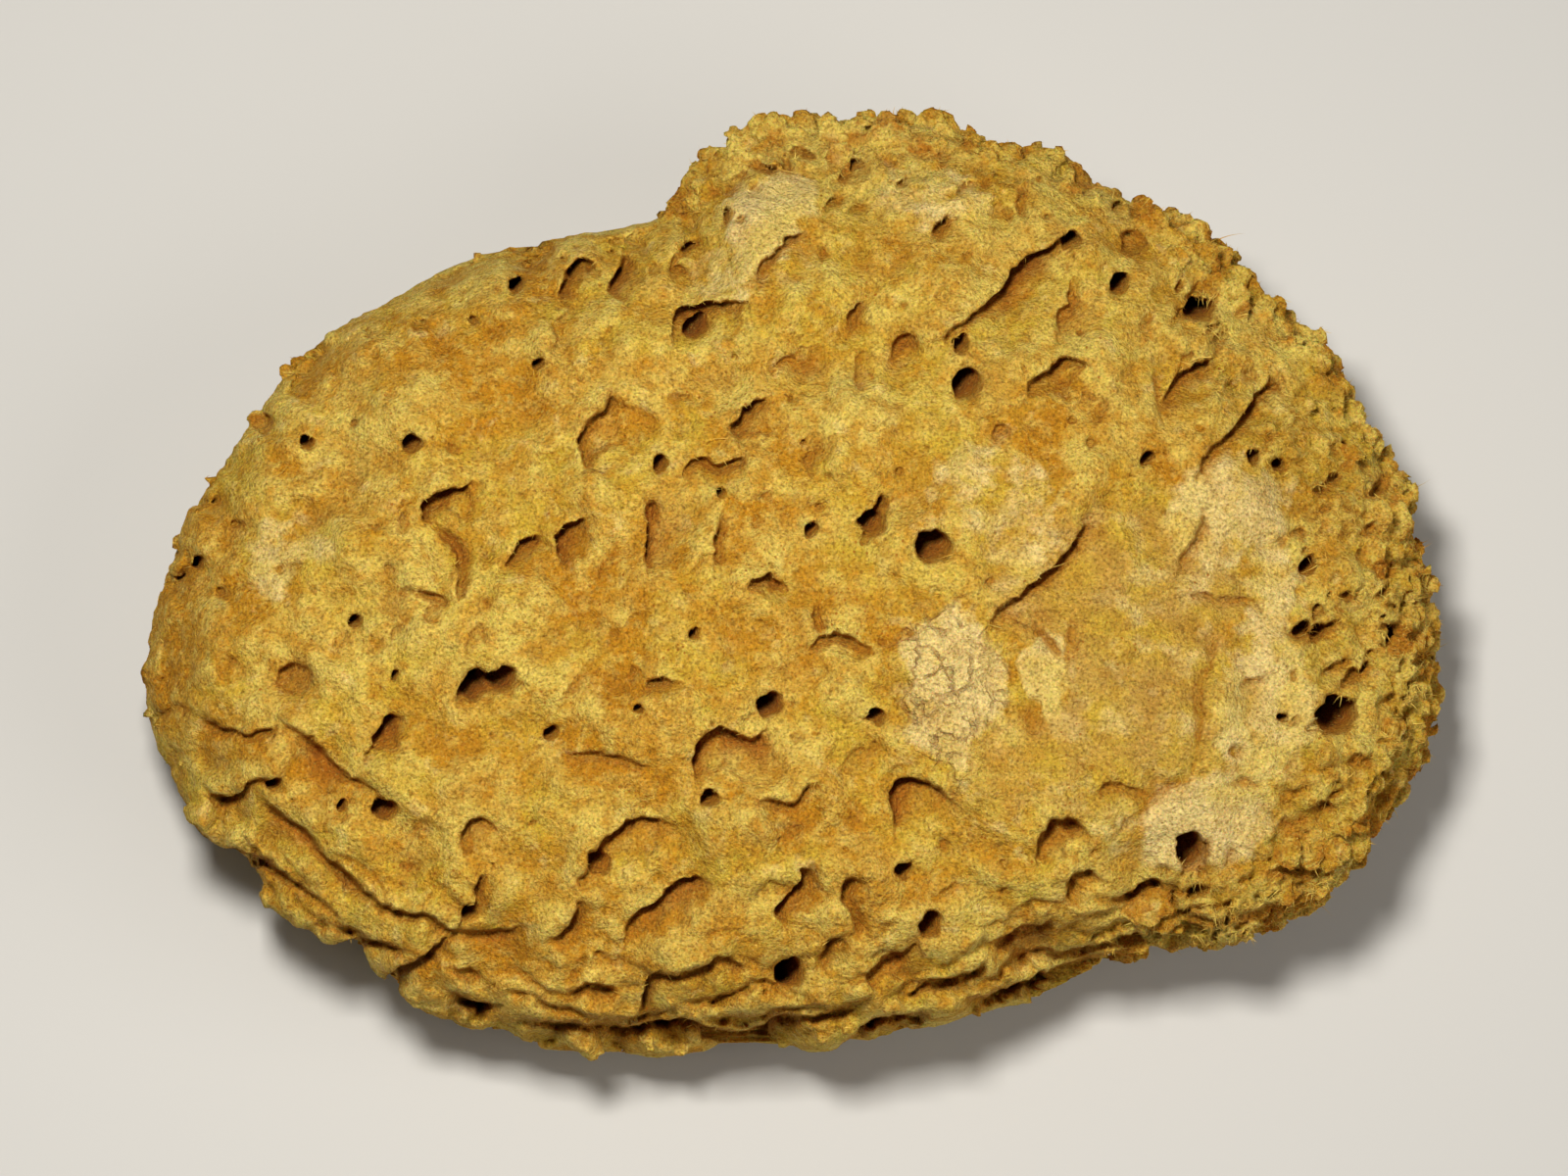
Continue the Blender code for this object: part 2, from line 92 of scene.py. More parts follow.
LEDGES = (
    (((-30.6, 17.4), (-32.3, 18.5), (-33.0, 21.2), (-32.4, 23.9), (-30.0, 26.6),
      (-28.4, 29.3)), 3.5, 12),
    (((-9.2, 21.9), (-9.5, 23.9), (-8.3, 26.0), (-6.2, 28.2), (-4.5, 28.8)), 4.0, 8),
    (((-16.8, 17.3), (-13.8, 20.0), (-11.6, 18.9), (-8.4, 20.0)), 2.5, 5),
    (((-18.5, 38.3), (-18.5, 40.8), (-16.8, 42.2), (-13.8, 42.7), (-8.3, 43.2)), 4.0, 6),
    (((-6.4, 46.2), (-5.1, 49.5), (-2.3, 51.2), (-1.2, 53.6), (1.8, 54.9)), 1.8, 8),
    (((-35.6, 43.5), (-34.8, 47.3), (-33.4, 50.0), (-31.8, 50.0), (-30.2, 48.4)), 2.5, 6),
    (((-25.5, 42.4), (-27.4, 44.0), (-27.7, 46.2), (-26.1, 50.0)), 1.8, 8),
    (((22.5, 38.3), (26.0, 40.7), (29.9, 44.0), (32.6, 46.7), (35.3, 49.5), (38.6, 51.6),
      (40.0, 53.0), (42.4, 53.6)), 3.5, 10),
    (((14.9, 34.2), (15.4, 36.9), (18.1, 38.3), (19.5, 36.9)), 1.5, 6),
    (((21.1, 53.3), (21.7, 55.2), (23.6, 56.9)), 2.0, 4),
    (((6.4, 62.0), (8.0, 64.2), (9.9, 65.6)), 2.0, 4),
    (((17.3, 65.9), (18.4, 67.2), (20.9, 67.5)), 1.5, 4),
    (((8.0, 38.6), (8.6, 41.9), (10.5, 43.5)), 1.8, 5),
    (((-3.8, 32.0), (-2.3, 33.9), (0.4, 35.3)), 1.0, 6),
    (((-22.5, 2.4), (-22.7, 6.3), (-22.5, 9.5), (-22.4, 12.2)), 3.0, 8),
    (((-12.2, 2.4), (-12.3, 5.7), (-11.3, 10.4)), 2.0, 8),
    (((-35.3, 2.7), (-36.2, 5.1), (-36.2, 7.7), (-34.8, 9.0), (-32.3, 10.4)), 4.0, 8),
    (((-44.3, 3.0), (-42.2, 6.2), (-39.7, 8.1), (-37.8, 6.8)), 2.5, 8),
    (((-7.5, -0.3), (-6.5, 1.1), (-4.0, 1.7), (-1.5, -0.3)), 4.0, 4),
    (((2.3, -10.1), (3.4, -8.5), (5.3, -7.8), (8.9, -8.1), (12.1, -9.6)), 2.5, 4),
    (((3.1, -7.4), (3.2, -3.0)), 1.5, 3),
    (((-23.6, -15.6), (-22.5, -14.6), (-19.8, -14.0), (-17.9, -14.5)), 2.5, 5),
    (((-14.9, -29.7), (-15.2, -26.5), (-14.3, -23.2), (-11.6, -21.8), (-8.9, -23.0),
      (-6.2, -24.0), (-4.8, -23.2)), 4.5, 10),
    (((-34.2, -25.4), (-30.2, -25.4), (-25.8, -26.2), (-22.5, -27.3)), 1.8, 8),
    (((-33.5, -45.5), (-30.7, -42.3), (-29.6, -40.1), (-27.5, -38.0), (-25.8, -36.0),
      (-23.1, -35.5), (-20.1, -36.0)), 4.0, 9),
    (((-5.6, -32.5), (-1.2, -33.6), (0.7, -32.5), (1.2, -30.6), (3.7, -29.7)), 2.0, 6),
    (((15.1, -37.4), (15.1, -34.1), (14.6, -32.5), (16.2, -30.3), (18.9, -29.7), (21.7, -30.6),
      (23.9, -32.5)), 4.0, 8),
    (((29.9, -6.6), (30.6, -3.8), (33.3, -1.8), (36.6, 0.0), (39.5, 2.9), (41.4, 4.1),
      (42.9, 6.7), (44.3, 9.6)), 3.0, 10),
    (((35.9, -4.0), (38.1, -6.2), (40.0, -8.6), (41.2, -11.0)), 1.2, 4),
    (((57.7, 1.1), (59.1, 3.9), (61.5, 7.2), (62.3, 10.6)), 1.2, 8),
    (((61.5, 17.6), (64.4, 21.5), (66.8, 24.3), (69.2, 27.2), (70.1, 29.6), (72.0, 30.1),
      (74.0, 30.8)), 3.0, 8),
    (((56.5, 28.2), (57.7, 30.1), (59.6, 32.5), (62.0, 34.4), (64.1, 34.4)), 3.5, 8),
    (((35.7, 29.1), (36.4, 31.5), (38.6, 33.5), (41.4, 35.1), (43.8, 35.1), (45.2, 33.9)), 3.0, 9),
    (((41.7, 41.1), (42.4, 44.0), (42.6, 47.3)), 1.2, 5),
    (((55.8, 26.7), (54.3, 32.5)), 1.0, 5),
    (((45.2, 25.8), (46.7, 28.4)), 1.2, 4),
    (((61.5, 45.4), (63.9, 47.8), (63.4, 49.7)), 1.5, 4),
    (((-51.8, -17.3), (-51.3, -15.2), (-49.5, -13.7), (-46.5, -13.2), (-43.8, -13.7),
      (-42.3, -14.7)), 8.0, 6),
    (((-65.0, -25.1), (-64.4, -22.7), (-63.0, -20.7), (-60.9, -20.5)), 5.0, 8),
    (((-79.1, -16.1), (-79.4, -14.7), (-78.0, -13.1), (-75.3, -12.8), (-73.7, -14.0)), 2.5, 5),
    (((-60.8, 7.4), (-61.1, 9.5), (-60.3, 11.7)), 1.0, 6),
    (((-55.4, 9.2), (-56.4, 9.6), (-56.7, 12.5), (-54.6, 14.6), (-49.1, 15.6)), 5.0, 8),
    (((-60.3, -0.5), (-55.2, -0.9), (-52.5, -2.3)), 1.5, 5),
    (((-52.2, -2.0), (-51.3, 1.1), (-51.6, 4.1), (-53.6, 7.4), (-55.1, 9.2)), 2.0, 3),
    (((-89.7, -20.2), (-86.3, -21.6), (-83.5, -22.4), (-80.3, -21.0)), 2.0, 8),
    (((-78.0, -21.3), (-73.7, -24.0), (-69.8, -27.3), (-66.6, -29.7), (-63.8, -31.7),
      (-61.7, -33.0)), 2.0, 9),
    (((-89.5, -31.4), (-86.3, -32.7), (-84.6, -32.0), (-83.7, -29.7), (-82.4, -28.7),
      (-81.0, -29.2), (-78.8, -30.6)), 2.0, 7),
    (((-81.0, -32.5), (-77.5, -35.2), (-73.7, -38.5), (-69.8, -42.3), (-67.1, -45.5),
      (-61.7, -49.1), (-56.3, -50.2), (-53.0, -52.4), (-48.6, -53.2), (-42.0, -52.7)), 2.5, 9),
    (((-92.3, -36.0), (-88.4, -39.9), (-83.5, -41.0), (-79.1, -43.1), (-74.7, -46.4),
      (-70.4, -48.6), (-68.3, -51.3)), 2.0, 6),
    (((-72.0, -55.1), (-68.2, -54.3), (-63.8, -54.2), (-59.5, -55.7)), 3.0, 5),
    (((-63.8, -62.0), (-61.1, -59.0), (-57.3, -57.3), (-55.1, -55.7), (-54.0, -53.8),
      (-51.8, -52.7)), 3.5, 8),
    (((-52.4, -62.2), (-49.7, -63.3), (-45.8, -64.4)), 3.0, 4),
    (((-53.0, -57.8), (-49.7, -58.4), (-47.5, -58.7)), 1.8, 4),
    (((-41.0, -66.0), (-36.6, -66.6), (-32.3, -66.6), (-26.6, -67.1), (-20.6, -66.6),
      (-16.2, -66.3), (-12.5, -67.7), (-9.7, -68.5), (-5.9, -67.7), (-2.6, -66.0), (2.3, -65.7),
      (7.8, -64.7), (12.1, -62.7)), 3.0, 5),
    (((-34.4, -61.7), (-31.1, -61.0), (-26.8, -61.7)), 3.0, 4),
    (((-23.9, -64.4), (-22.8, -61.1), (-20.6, -59.2), (-17.3, -59.0), (-14.1, -58.1),
      (-11.3, -57.0), (-9.7, -57.8), (-7.5, -58.7)), 3.5, 8),
    (((-37.1, -54.0), (-34.4, -52.4), (-33.3, -50.2), (-33.6, -48.6)), 2.5, 6),
    (((-50.3, -50.5), (-49.4, -48.0), (-48.6, -44.8)), 2.5, 4),
    (((-51.0, -41.0), (-51.0, -37.7), (-49.7, -36.0), (-47.5, -35.6), (-45.3, -37.1)), 2.0, 8),
    (((-25.8, -54.0), (-25.2, -51.3), (-23.3, -49.7), (-21.2, -48.6), (-18.5, -45.9),
      (-15.7, -45.0), (-13.2, -45.6)), 3.0, 10),
    (((-1.8, -52.7), (-2.9, -50.7), (-2.1, -48.6), (0.1, -46.4), (0.9, -44.0),
      (2.3, -43.1)), 4.5, 7),
    (((8.9, -53.5), (8.6, -50.7), (7.5, -49.1), (7.2, -47.0), (8.6, -44.8),
      (11.6, -44.5)), 3.0, 7),
    (((3.4, -58.7), (4.2, -56.2), (5.6, -54.0), (7.8, -53.5)), 2.5, 6),
    (((12.1, -62.2), (11.3, -60.6), (11.6, -58.4), (13.2, -56.8), (16.5, -55.7),
      (18.4, -54.3)), 3.0, 8),
    (((17.0, -62.7), (19.2, -61.1), (23.6, -59.8), (27.4, -58.4), (29.0, -57.8)), 2.5, 5),
    (((30.9, -56.2), (31.2, -54.6), (33.9, -53.2), (36.7, -52.7), (38.9, -51.3)), 2.8, 7),
    (((6.1, -71.0), (8.9, -68.7), (11.6, -66.6), (14.9, -65.7), (19.8, -65.0)), 3.0, 5),
    (((27.9, -63.0), (31.2, -62.2), (35.0, -60.6), (38.9, -59.2), (41.6, -58.1), (46.2, -56.8),
      (49.5, -56.1), (51.5, -55.2)), 3.0, 5),
    (((36.9, -42.0), (37.5, -39.3), (38.6, -36.3), (39.9, -35.5), (42.7, -36.0),
      (44.3, -37.4)), 4.5, 7),
    (((43.2, -49.1), (41.6, -47.5), (41.3, -45.9), (42.7, -44.0), (44.9, -43.7),
      (46.5, -44.8)), 2.5, 7),
    (((48.6, -48.2), (50.5, -47.3), (52.4, -45.8), (54.6, -45.1), (56.7, -46.3)), 3.0, 6),
    (((60.3, -48.0), (60.5, -46.5), (62.0, -45.6), (63.9, -46.1)), 2.5, 4),
    (((58.9, -42.9), (60.1, -40.8), (62.9, -38.7)), 6.0, 3.5),
    (((71.8, -43.7), (73.0, -43.1), (76.4, -42.8), (80.2, -43.3)), 2.5, 4),
    (((79.4, -33.9), (80.6, -33.0), (83.0, -33.5)), 2.0, 4),
    (((84.5, -26.9), (86.9, -25.2), (89.3, -26.7)), 2.2, 4),
    (((79.7, 14.4), (81.1, 15.8), (83.3, 17.6)), 2.0, 3),
    (((87.8, 14.4), (88.8, 15.8), (90.2, 17.3)), 2.2, 3),
    (((83.3, -15.3), (84.9, -13.4), (87.8, -11.9)), 2.0, 3),
    (((91.9, -9.8), (91.9, -7.8), (93.6, -6.6), (95.4, -6.6)), 3.0, 4),
    (((79.4, -7.6), (80.6, -6.2), (82.1, -5.2), (83.5, -5.7)), 3.0, 3),
    (((47.2, -32.5), (47.4, -30.6), (49.1, -30.3), (53.9, -31.3)), 1.2, 5),
    (((65.3, -8.7), (64.0, -13.0), (63.3, -17.0), (62.3, -21.0), (62.9, -25.0)), 0.9, 4),
    (((57.0, -1.5), (60.0, -0.8), (64.5, -1.3), (70.5, -2.0), (72.5, -4.0)), 0.8, 3),
    (((62.5, -25.0), (60.5, -30.0), (56.0, -34.0), (53.0, -38.0)), 0.8, 3),
    (((10.2, 7.0), (10.4, 9.6), (11.9, 12.0), (13.4, 13.6)), 7.0, 3.0),
)

# Round pits: place and radius.

DEEP_PITS = (
    (-74.6, 21.6, 1.05), (-58.3, 21.1, 1.2), (-39.1, 33.6, 0.8), (-14.7, 39.4, 1.5),
    (-20.4, 18.1, 1.1), (-42.0, 45.8, 1.0), (11.8, 9.6, 1.8), (2.9, 7.9, 1.0), (26.8, 30.4, 1.9),
    (42.6, 52.5, 1.3), (49.9, 46.2, 1.4), (62.4, 42.0, 2.0), (53.9, 18.9, 1.0), (25.9, 36.6, 1.3),
    (-3.1, -18.9, 1.9), (12.8, -20.7, 1.1), (-12.6, -33.0, 1.3), (21.1, 5.7, 2.4),
    (16.9, -43.8, 1.2), (-29.4, -42.3, 1.6), (20.8, -51.9, 1.8), (-0.1, -59.7, 1.8),
    (82.8, -20.2, 2.8), (-62.7, -34.6, 1.6), (-49.8, -50.2, 1.2), (74.1, 18.3, 0.8),
    (70.8, 19.5, 0.9), (79.2, 2.2, 1.2), (90.1, 2.7, 1.3), (93.0, -8.5, 1.8), (77.5, -6.9, 1.3),
    (80.1, -7.6, 1.2), (74.5, -20.7, 0.7), (51.9, -54.4, 1.0), (-90.9, 3.4, 1.0),
    (-66.8, -6.0, 0.9), (-36.9, -22.6, 0.9), (-24.1, -19.1, 0.8), (-69.0, -34.0, 0.8),
    (-79.3, -30.6, 0.8), (-10.9, 13.8, 0.7), (-48.5, -15.7, 2.3), (-44.3, -14.9, 1.8),
    (60.8, -40.4, 2.2), (-61.3, -14.1, 0.6), (-15.1, -7.6, 0.7),
)
SHALLOW_PITS = (
    (-52.0, 20.6, 1.1), (-17.2, 47.5, 1.0), (-66.9, 24.6, 0.8), (-65.0, 38.9, 0.6),
    (-64.0, 35.5, 0.6), (-57.6, 39.6, 1.0), (-32.1, 32.1, 0.4), (-45.6, 45.4, 0.6),
    (-21.0, 47.9, 0.9), (-48.6, 40.5, 0.8), (-8.1, 55.9, 0.6), (-7.0, 62.8, 0.6), (4.5, 50.2, 0.8),
    (21.9, 44.5, 0.7), (32.5, 56.9, 0.8), (31.8, 22.8, 1.2), (16.2, 17.1, 0.6), (4.5, 11.8, 0.8),
    (-5.5, 9.6, 0.8), (29.2, 61.5, 0.8), (26.6, 50.5, 0.5), (51.9, 52.0, 1.8), (38.5, 56.5, 0.7),
    (40.0, 32.1, 0.9), (62.2, 24.0, 0.6), (45.3, 21.3, 0.8), (43.0, 24.6, 0.6), (-85.0, 9.0, 0.9),
    (-87.3, -1.6, 0.8), (-78.1, 2.4, 0.7), (-73.3, -0.8, 0.5), (-62.2, 2.5, 0.7),
    (-92.0, -13.3, 0.7), (-93.3, -19.1, 0.9), (-85.6, -11.8, 0.7), (-55.6, -4.6, 1.2),
    (-51.6, 3.0, 0.6), (-49.5, 6.0, 0.4), (-27.0, -7.9, 0.7), (0.1, -18.1, 0.5), (3.6, -23.4, 0.6),
    (23.6, -40.0, 0.8), (32.2, -42.8, 0.6), (20.8, -33.6, 1.0), (30.3, 0.3, 0.6),
    (32.4, -46.6, 0.7), (-29.8, -57.0, 0.6), (40.8, -39.9, 0.6), (53.5, -49.9, 0.8),
    (59.5, -51.0, 0.6), (67.5, -25.8, 0.9), (91.8, -3.3, 0.8), (96.0, -7.0, 0.7),
    (-76.3, -14.5, 2.4),
)

# Chance ledges: count, spacing, zone, and ranges of length, depth and reach, and lean in degrees.

SCATTERED_LEDGES = (
    (90, 6.5, "plain", (2.5, 8.0), (0.3, 1.2), (2.5, 6.0), 40),
    (24, 5.0, "front", (4.0, 8.0), (0.6, 1.4), (2.5, 5.0), 8),
    (240, 2.8, "frill", (2.0, 5.5), (0.6, 1.7), (1.6, 3.5), 45),
)

# Strata: layers that run along the front, inside the outline by so much, and their depth.

STRATA_ROWS = ((2.6, 1.5), (6.0, 1.5), (10.5, 1.1))
STRATA_FROM, STRATA_TO = math.radians(203), math.radians(322)
FRONT_RADIUS = 85.0

# Pale crust and tan felt: soft-edged ovals as centre, half-sizes, turn in degrees, strength.

CRUST_PATCHES = (
    (23.7, -15.5, 8.8, 13.0, 0, 1.0), (39.0, -13.5, 4.5, 6.5, 10, 0.7),
    (66.5, 10.5, 10.5, 8.5, 10, 0.6), (73.5, -1.0, 4.5, 9.0, -8, 0.6),
    (72.0, -19.0, 9.0, 13.5, 0, 0.7), (63.0, -35.5, 12.5, 6.5, 25, 1.0),
    (30.0, 14.5, 10.5, 10.5, 0, 0.38), (-3.5, 56.5, 6.5, 8.0, -25, 0.95),
    (20.0, 60.0, 9.0, 4.5, -15, 0.5), (-79.0, 4.5, 6.0, 9.0, -40, 0.52),
    (36.0, 5.0, 9.0, 5.0, 0, 0.4), (-10.0, 46.5, 4.5, 5.5, 0, 0.5),
    (50.0, -38.0, 5.0, 3.0, 0, 0.4),
)
TAN_PATCHES = (
    (54.0, -13.0, 13.0, 18.0, 5, 1.0), (62.0, -1.0, 8.0, 9.0, 0, 0.9),
    (45.0, -26.0, 12.0, 11.0, 0, 0.7), (44.0, 2.0, 17.0, 13.0, 0, 0.6),
    (30.0, -28.0, 9.0, 9.0, 0, 0.4),
)
EDGE_NOTCHES = (  # place and radius
    (-81.3, 24.8, 1.5), (-63.3, 44.5, 1.4), (-54.3, 48.7, 1.6), (-45.7, 50.8, 1.2),
    (-38.1, 51.7, 1.3), (-73.0, 35.5, 1.2), (45.0, 62.5, 1.8), (-17.5, 57.0, 1.4),
)
EDGE_GROWTH = (  # how far the widest line moves out, at each ten degrees of bearing
    -2.3, -3.3, -3.5, -3.1, -2.8, -1.5, -1.2, -0.1, -0.4, -0.7, -2.3, 0.8,
    -0.4, -0.8, -0.8, 0.5, 0.8, -1.8, -0.2, 2.2, 0.6, 1.0, -1.6, 1.8,
    2.8, -0.7, 1.3, 2.5, 3.9, 2.1, 0.9, -1.3, 0.0, 0.1, -3.3, -1.5,
)
GROWTH_HEIGHT = 20.0  # how far up and down the move is felt
FLAKES = (24.0, -16.5, 9.5, 14.5, 0, 1.0)
PALE_PATCHES = (
    (7.5, 25.5, 9.0, 8.0, 0, 1.0), (-64.0, -4.0, 13.0, 9.0, 20, 0.9),
    (-77.0, -14.0, 8.0, 6.0, 0, 0.8), (-50.0, -6.5, 9.0, 4.0, 0, 0.9),
    (-1.5, 8.0, 6.0, 4.0, 0, 0.8), (50.0, 41.0, 12.0, 8.0, 35, 0.7),
    (14.0, 46.0, 9.0, 6.0, 10, 0.5), (-66.0, 18.0, 8.0, 9.0, 40, 0.8),
    (-3.0, -29.0, 6.0, 7.0, 0, 0.8), (6.0, -14.0, 5.0, 6.0, 0, 0.7),
    (-56.0, 2.0, 6.0, 6.0, 0, 0.8), (-60.0, -27.0, 8.0, 3.0, -40, 0.7),
    (-45.0, -28.0, 6.0, 8.0, 0, 0.6), (21.0, 56.0, 9.0, 5.0, 0, 0.8),
    (33.0, 50.0, 6.0, 5.0, 0, 0.7), (-8.0, 40.0, 5.0, 5.0, 0, 0.5), (64.0, 36.0, 6.0, 5.0, 0, 0.6),
    (-47.5, -41.0, 3.0, 3.5, 0, 1.0), (10.0, -40.5, 4.0, 4.5, 0, 0.9),
    (44.0, -43.0, 4.0, 4.0, 0, 0.8), (30.0, -25.0, 7.0, 6.0, 0, 0.5),
    (8.0, 65.0, 24.0, 8.0, -5, 0.9), (42.0, 58.0, 13.0, 6.0, -30, 0.7),
    (70.0, 38.0, 12.0, 9.0, -45, 0.6),
)
# Orange patches: centre, half-sizes, turn in degrees, strength. The two at the far left and
# upper-left outline, at (-92, -8) and (-72, 36), are painted shade where the light falls off
# toward the outline.
ORANGE_PATCHES = (
    (-37.0, 26.0, 17.0, 8.0, 15, 0.9), (-22.0, 31.0, 13.0, 6.0, 20, 0.9),
    (-14.0, 9.0, 14.0, 8.0, 0, 0.7), (-33.0, 1.0, 12.0, 12.0, 0, 0.7),
    (-24.0, -22.0, 13.0, 12.0, 0, 0.8), (-14.0, -36.0, 9.0, 6.0, 0, 0.8),
    (-20.0, -52.0, 15.0, 7.0, 10, 0.9), (14.0, -50.0, 14.0, 9.0, 10, 0.7),
    (48.0, 24.0, 16.0, 7.0, 20, 0.6), (40.0, -8.0, 9.0, 4.0, 25, 0.6),
    (-72.0, -30.0, 14.0, 5.0, -35, 0.7), (-76.0, 20.0, 7.0, 6.0, 0, 0.8),
    (-48.0, 46.0, 9.0, 4.0, 10, 0.7), (34.0, 34.0, 10.0, 5.0, 30, 0.6),
    (-2.0, -8.0, 10.0, 6.0, 0, 0.5), (-6.0, 20.0, 8.0, 5.0, 40, 0.5),
    (60.0, 20.0, 6.0, 5.0, 0, 0.4), (22.0, -38.0, 8.0, 5.0, 0, 0.6),
    (-92.0, -8.0, 7.0, 22.0, 0, 0.9), (-72.0, 36.0, 16.0, 6.0, 40, 0.9),
    (-50.0, 44.0, 22.0, 8.0, 20, 0.6), (-30.0, -61.0, 46.0, 10.0, 0, 0.7),
    (38.0, -54.0, 30.0, 8.0, 12, 0.6), (88.0, 15.0, 9.0, 30.0, 10, 0.5),
    (-12.0, -31.0, 26.0, 15.0, 0, 0.55), (-58.0, 32.0, 20.0, 8.0, 30, 0.5),
)

# Fineness and chance.

VOXEL = 0.45  # the grid's step
GRID_LOW = np.round(np.array((-105, -79, -3)) / VOXEL).astype(int)
GRID_SIZE = tuple(int(n) for n in np.ceil(np.array((210, 159, 71)) / VOXEL))
BAND = 10.0  # how far from the skin the grid keeps distances
MAP_STEP = 0.2  # the depth map's step on the plane
MAP_LOW = np.array((-106.0, -80.0))
MAP_SIZE = (1060, 800)
SKIN_TRIANGLES = 196000
UNSEEN_TRIANGLES = 46000  # of them, on what the eye can't see
CLEFT_DEPTH = 1.4  # of the narrow gap under a lip
CLEFT_WIDTH = 1.9
LEDGE_DEPTH = 1.2  # times the depths in the table of ledges
RIM_SCALES = 700
WALL_SHELVES = 150
WALL_TUNNELS = 420
UNDER_TUNNELS = 380
FRONT_FELT_BELOW = -2.0  # the place on the plane where the felt's two pieces meet
SLANT = np.array((0.16, -0.15))  # how far holes lean across for each unit of depth
chance = np.random.default_rng(7)


def polar_outline():
    """The outline as bearings and radii, in the order of bearing."""
    return np.array(sorted((math.atan2(y, x), math.hypot(x, y)) for x, y in OUTLINE))


POLAR = polar_outline()


def outline_radius(bearings):
    """Radius of the widest outline at bearings, by a Catmull-Rom curve through its points."""
    count = len(POLAR)
    after = np.searchsorted(POLAR[:, 0], bearings, side="right")

    def knot(index):
        return POLAR[index % count, 0] + (index // count) * math.tau, POLAR[index % count, 1]

    (_, r0), (a1, r1), (a2, r2), (_, r3) = (knot(after + step) for step in (-2, -1, 0, 1))
    t = (bearings - a1) / (a2 - a1)
    return 0.5 * (
        2 * r1 + (r2 - r0) * t + (2 * r0 - 5 * r1 + 4 * r2 - r3) * t * t
        + (3 * r1 - r0 - 3 * r2 + r3) * t**3
    )


def body_points(directions):
    """Points of the body's skin along unit directions from its middle."""
    flat = np.hypot(directions[:, 0], directions[:, 1])
    bearing = np.arctan2(directions[:, 1], directions[:, 0])
    rise = directions[:, 2]
    power = SHOULDER_POWER + (FRONT_POWER - SHOULDER_POWER) * np.maximum(0.0, -np.sin(bearing))
    grow = (flat**power + np.abs(rise) ** power) ** (-1 / power)
    radius = outline_radius(bearing) * grow * flat
    tall = np.where(rise > 0, HEIGHT - BELLY_HEIGHT, BASE_REACH)
    points = np.stack(
        (radius * np.cos(bearing), radius * np.sin(bearing), BELLY_HEIGHT + tall * grow * rise), 1
    )
    for i, place in enumerate(points):
        point = Vector(place)
        outward = Vector((point.x, point.y, WALL_LEAN * (point.z - BELLY_HEIGHT))).normalized()
        for wave, height in SWELLS:
            point += outward * height * noise.noise(point / wave)
        lobe = (point.y - FRILL_BACK) / FRILL_BACK_WIDTH if point.x > LOBE_LEFT else 0.0
        share = max(0.0, min(1.0, max((point.x - FRILL_RIGHT) / FRILL_RIGHT_WIDTH, lobe)))
        ridge = 1.0 - 2.0 * abs(noise.noise(point / RIM_RIDGE_WAVE))
        point += outward * RIM_RIDGE_HEIGHT * share * (ridge - RIM_RIDGE_MEAN)
        points[i] = point
    points[:, 2] = np.maximum(0.0, points[:, 2])
    return points


def move_edge(points):
    """Moves the widest line out or in by the bearing, and what lies near its height with it."""
    bearing = np.degrees(np.arctan2(points[:, 1], points[:, 0]))
    growth = np.interp(bearing, np.arange(0, 360, 10), EDGE_GROWTH, period=360)
    growth *= np.exp(-(((points[:, 2] - BELLY_HEIGHT) / GROWTH_HEIGHT) ** 2))
    points[:, :2] *= (1 + growth / (np.hypot(points[:, 0], points[:, 1]) + 1e-6))[:, None]


def smooth_body():
    """The body without its pits: its points, triangles and a tree of them."""
    work = bmesh.new()
    bmesh.ops.create_icosphere(work, subdivisions=6, radius=1.0)
    directions = np.array([v.co.normalized() for v in work.verts])
    triangles = np.array([[v.index for v in f.verts] for f in work.faces], np.uint32)
    work.free()
    points = body_points(directions)
    move_edge(points)
    return points, triangles, BVHTree.FromPolygons(points.tolist(), triangles.tolist())


# Noise.

_slopes = np.random.default_rng(3).normal(size=(256, 3))
SLOPES = (_slopes / np.linalg.norm(_slopes, axis=1, keepdims=True)).astype(np.float32)


def waves(points, wave, seed=0):
    """Smooth noise from about -1 to 1 with a wavelength, at an array of points."""
    found = np.empty(len(points), np.float32)
    for start in range(0, len(points), 400000):
        at = points[start:start + 400000].astype(np.float32) / wave + 19.7 * seed
        cell = np.floor(at).astype(np.int64)
        part = at - cell
        ease = part * part * part * (part * (part * 6 - 15) + 10)
        total = np.zeros(len(at), np.float32)
        for corner in range(8):
            step = np.array((corner & 1, corner >> 1 & 1, corner >> 2 & 1))
            mixed = (cell + step) * (73856093, 19349663, 83492791)
            key = mixed[:, 0] ^ mixed[:, 1] ^ mixed[:, 2]
            slope = SLOPES[(key ^ key >> 13) & 255]
            weight = np.prod(np.where(step, ease, 1 - ease), 1)
            total += weight * ((part - step) * slope).sum(1)
        found[start:start + 400000] = total
    return found * 1.7


TURNS = np.linspace(0, math.tau, 256, endpoint=False)
FLAT_SLOPES = np.stack((np.cos(TURNS), np.sin(TURNS))).astype(np.float32)


def flat_waves(across, along, wave, seed=0):
    """Smooth noise of the same kind over a pair of flat coordinate arrays."""
    x = (across / wave + 31.7 * seed).astype(np.float32)
    y = (along / wave - 17.9 * seed).astype(np.float32)
    i, j = np.floor(x).astype(np.int32), np.floor(y).astype(np.int32)
    a, b = x - i, y - j
    ease_a, ease_b = (t * t * t * (t * (t * 6 - 15) + 10) for t in (a, b))
    total = np.zeros(x.shape, np.float32)
    for step_i in (0, 1):
        for step_j in (0, 1):
            key = (i + step_i) * 374761 + (j + step_j) * 668265 + seed * 9176
            key = ((key ^ key >> 7) * 12747) >> 5 & 255
            dot = (a - step_i) * FLAT_SLOPES[0][key] + (b - step_j) * FLAT_SLOPES[1][key]
            total += dot * (ease_a if step_i else 1 - ease_a) * (ease_b if step_j else 1 - ease_b)
    return total * 1.5


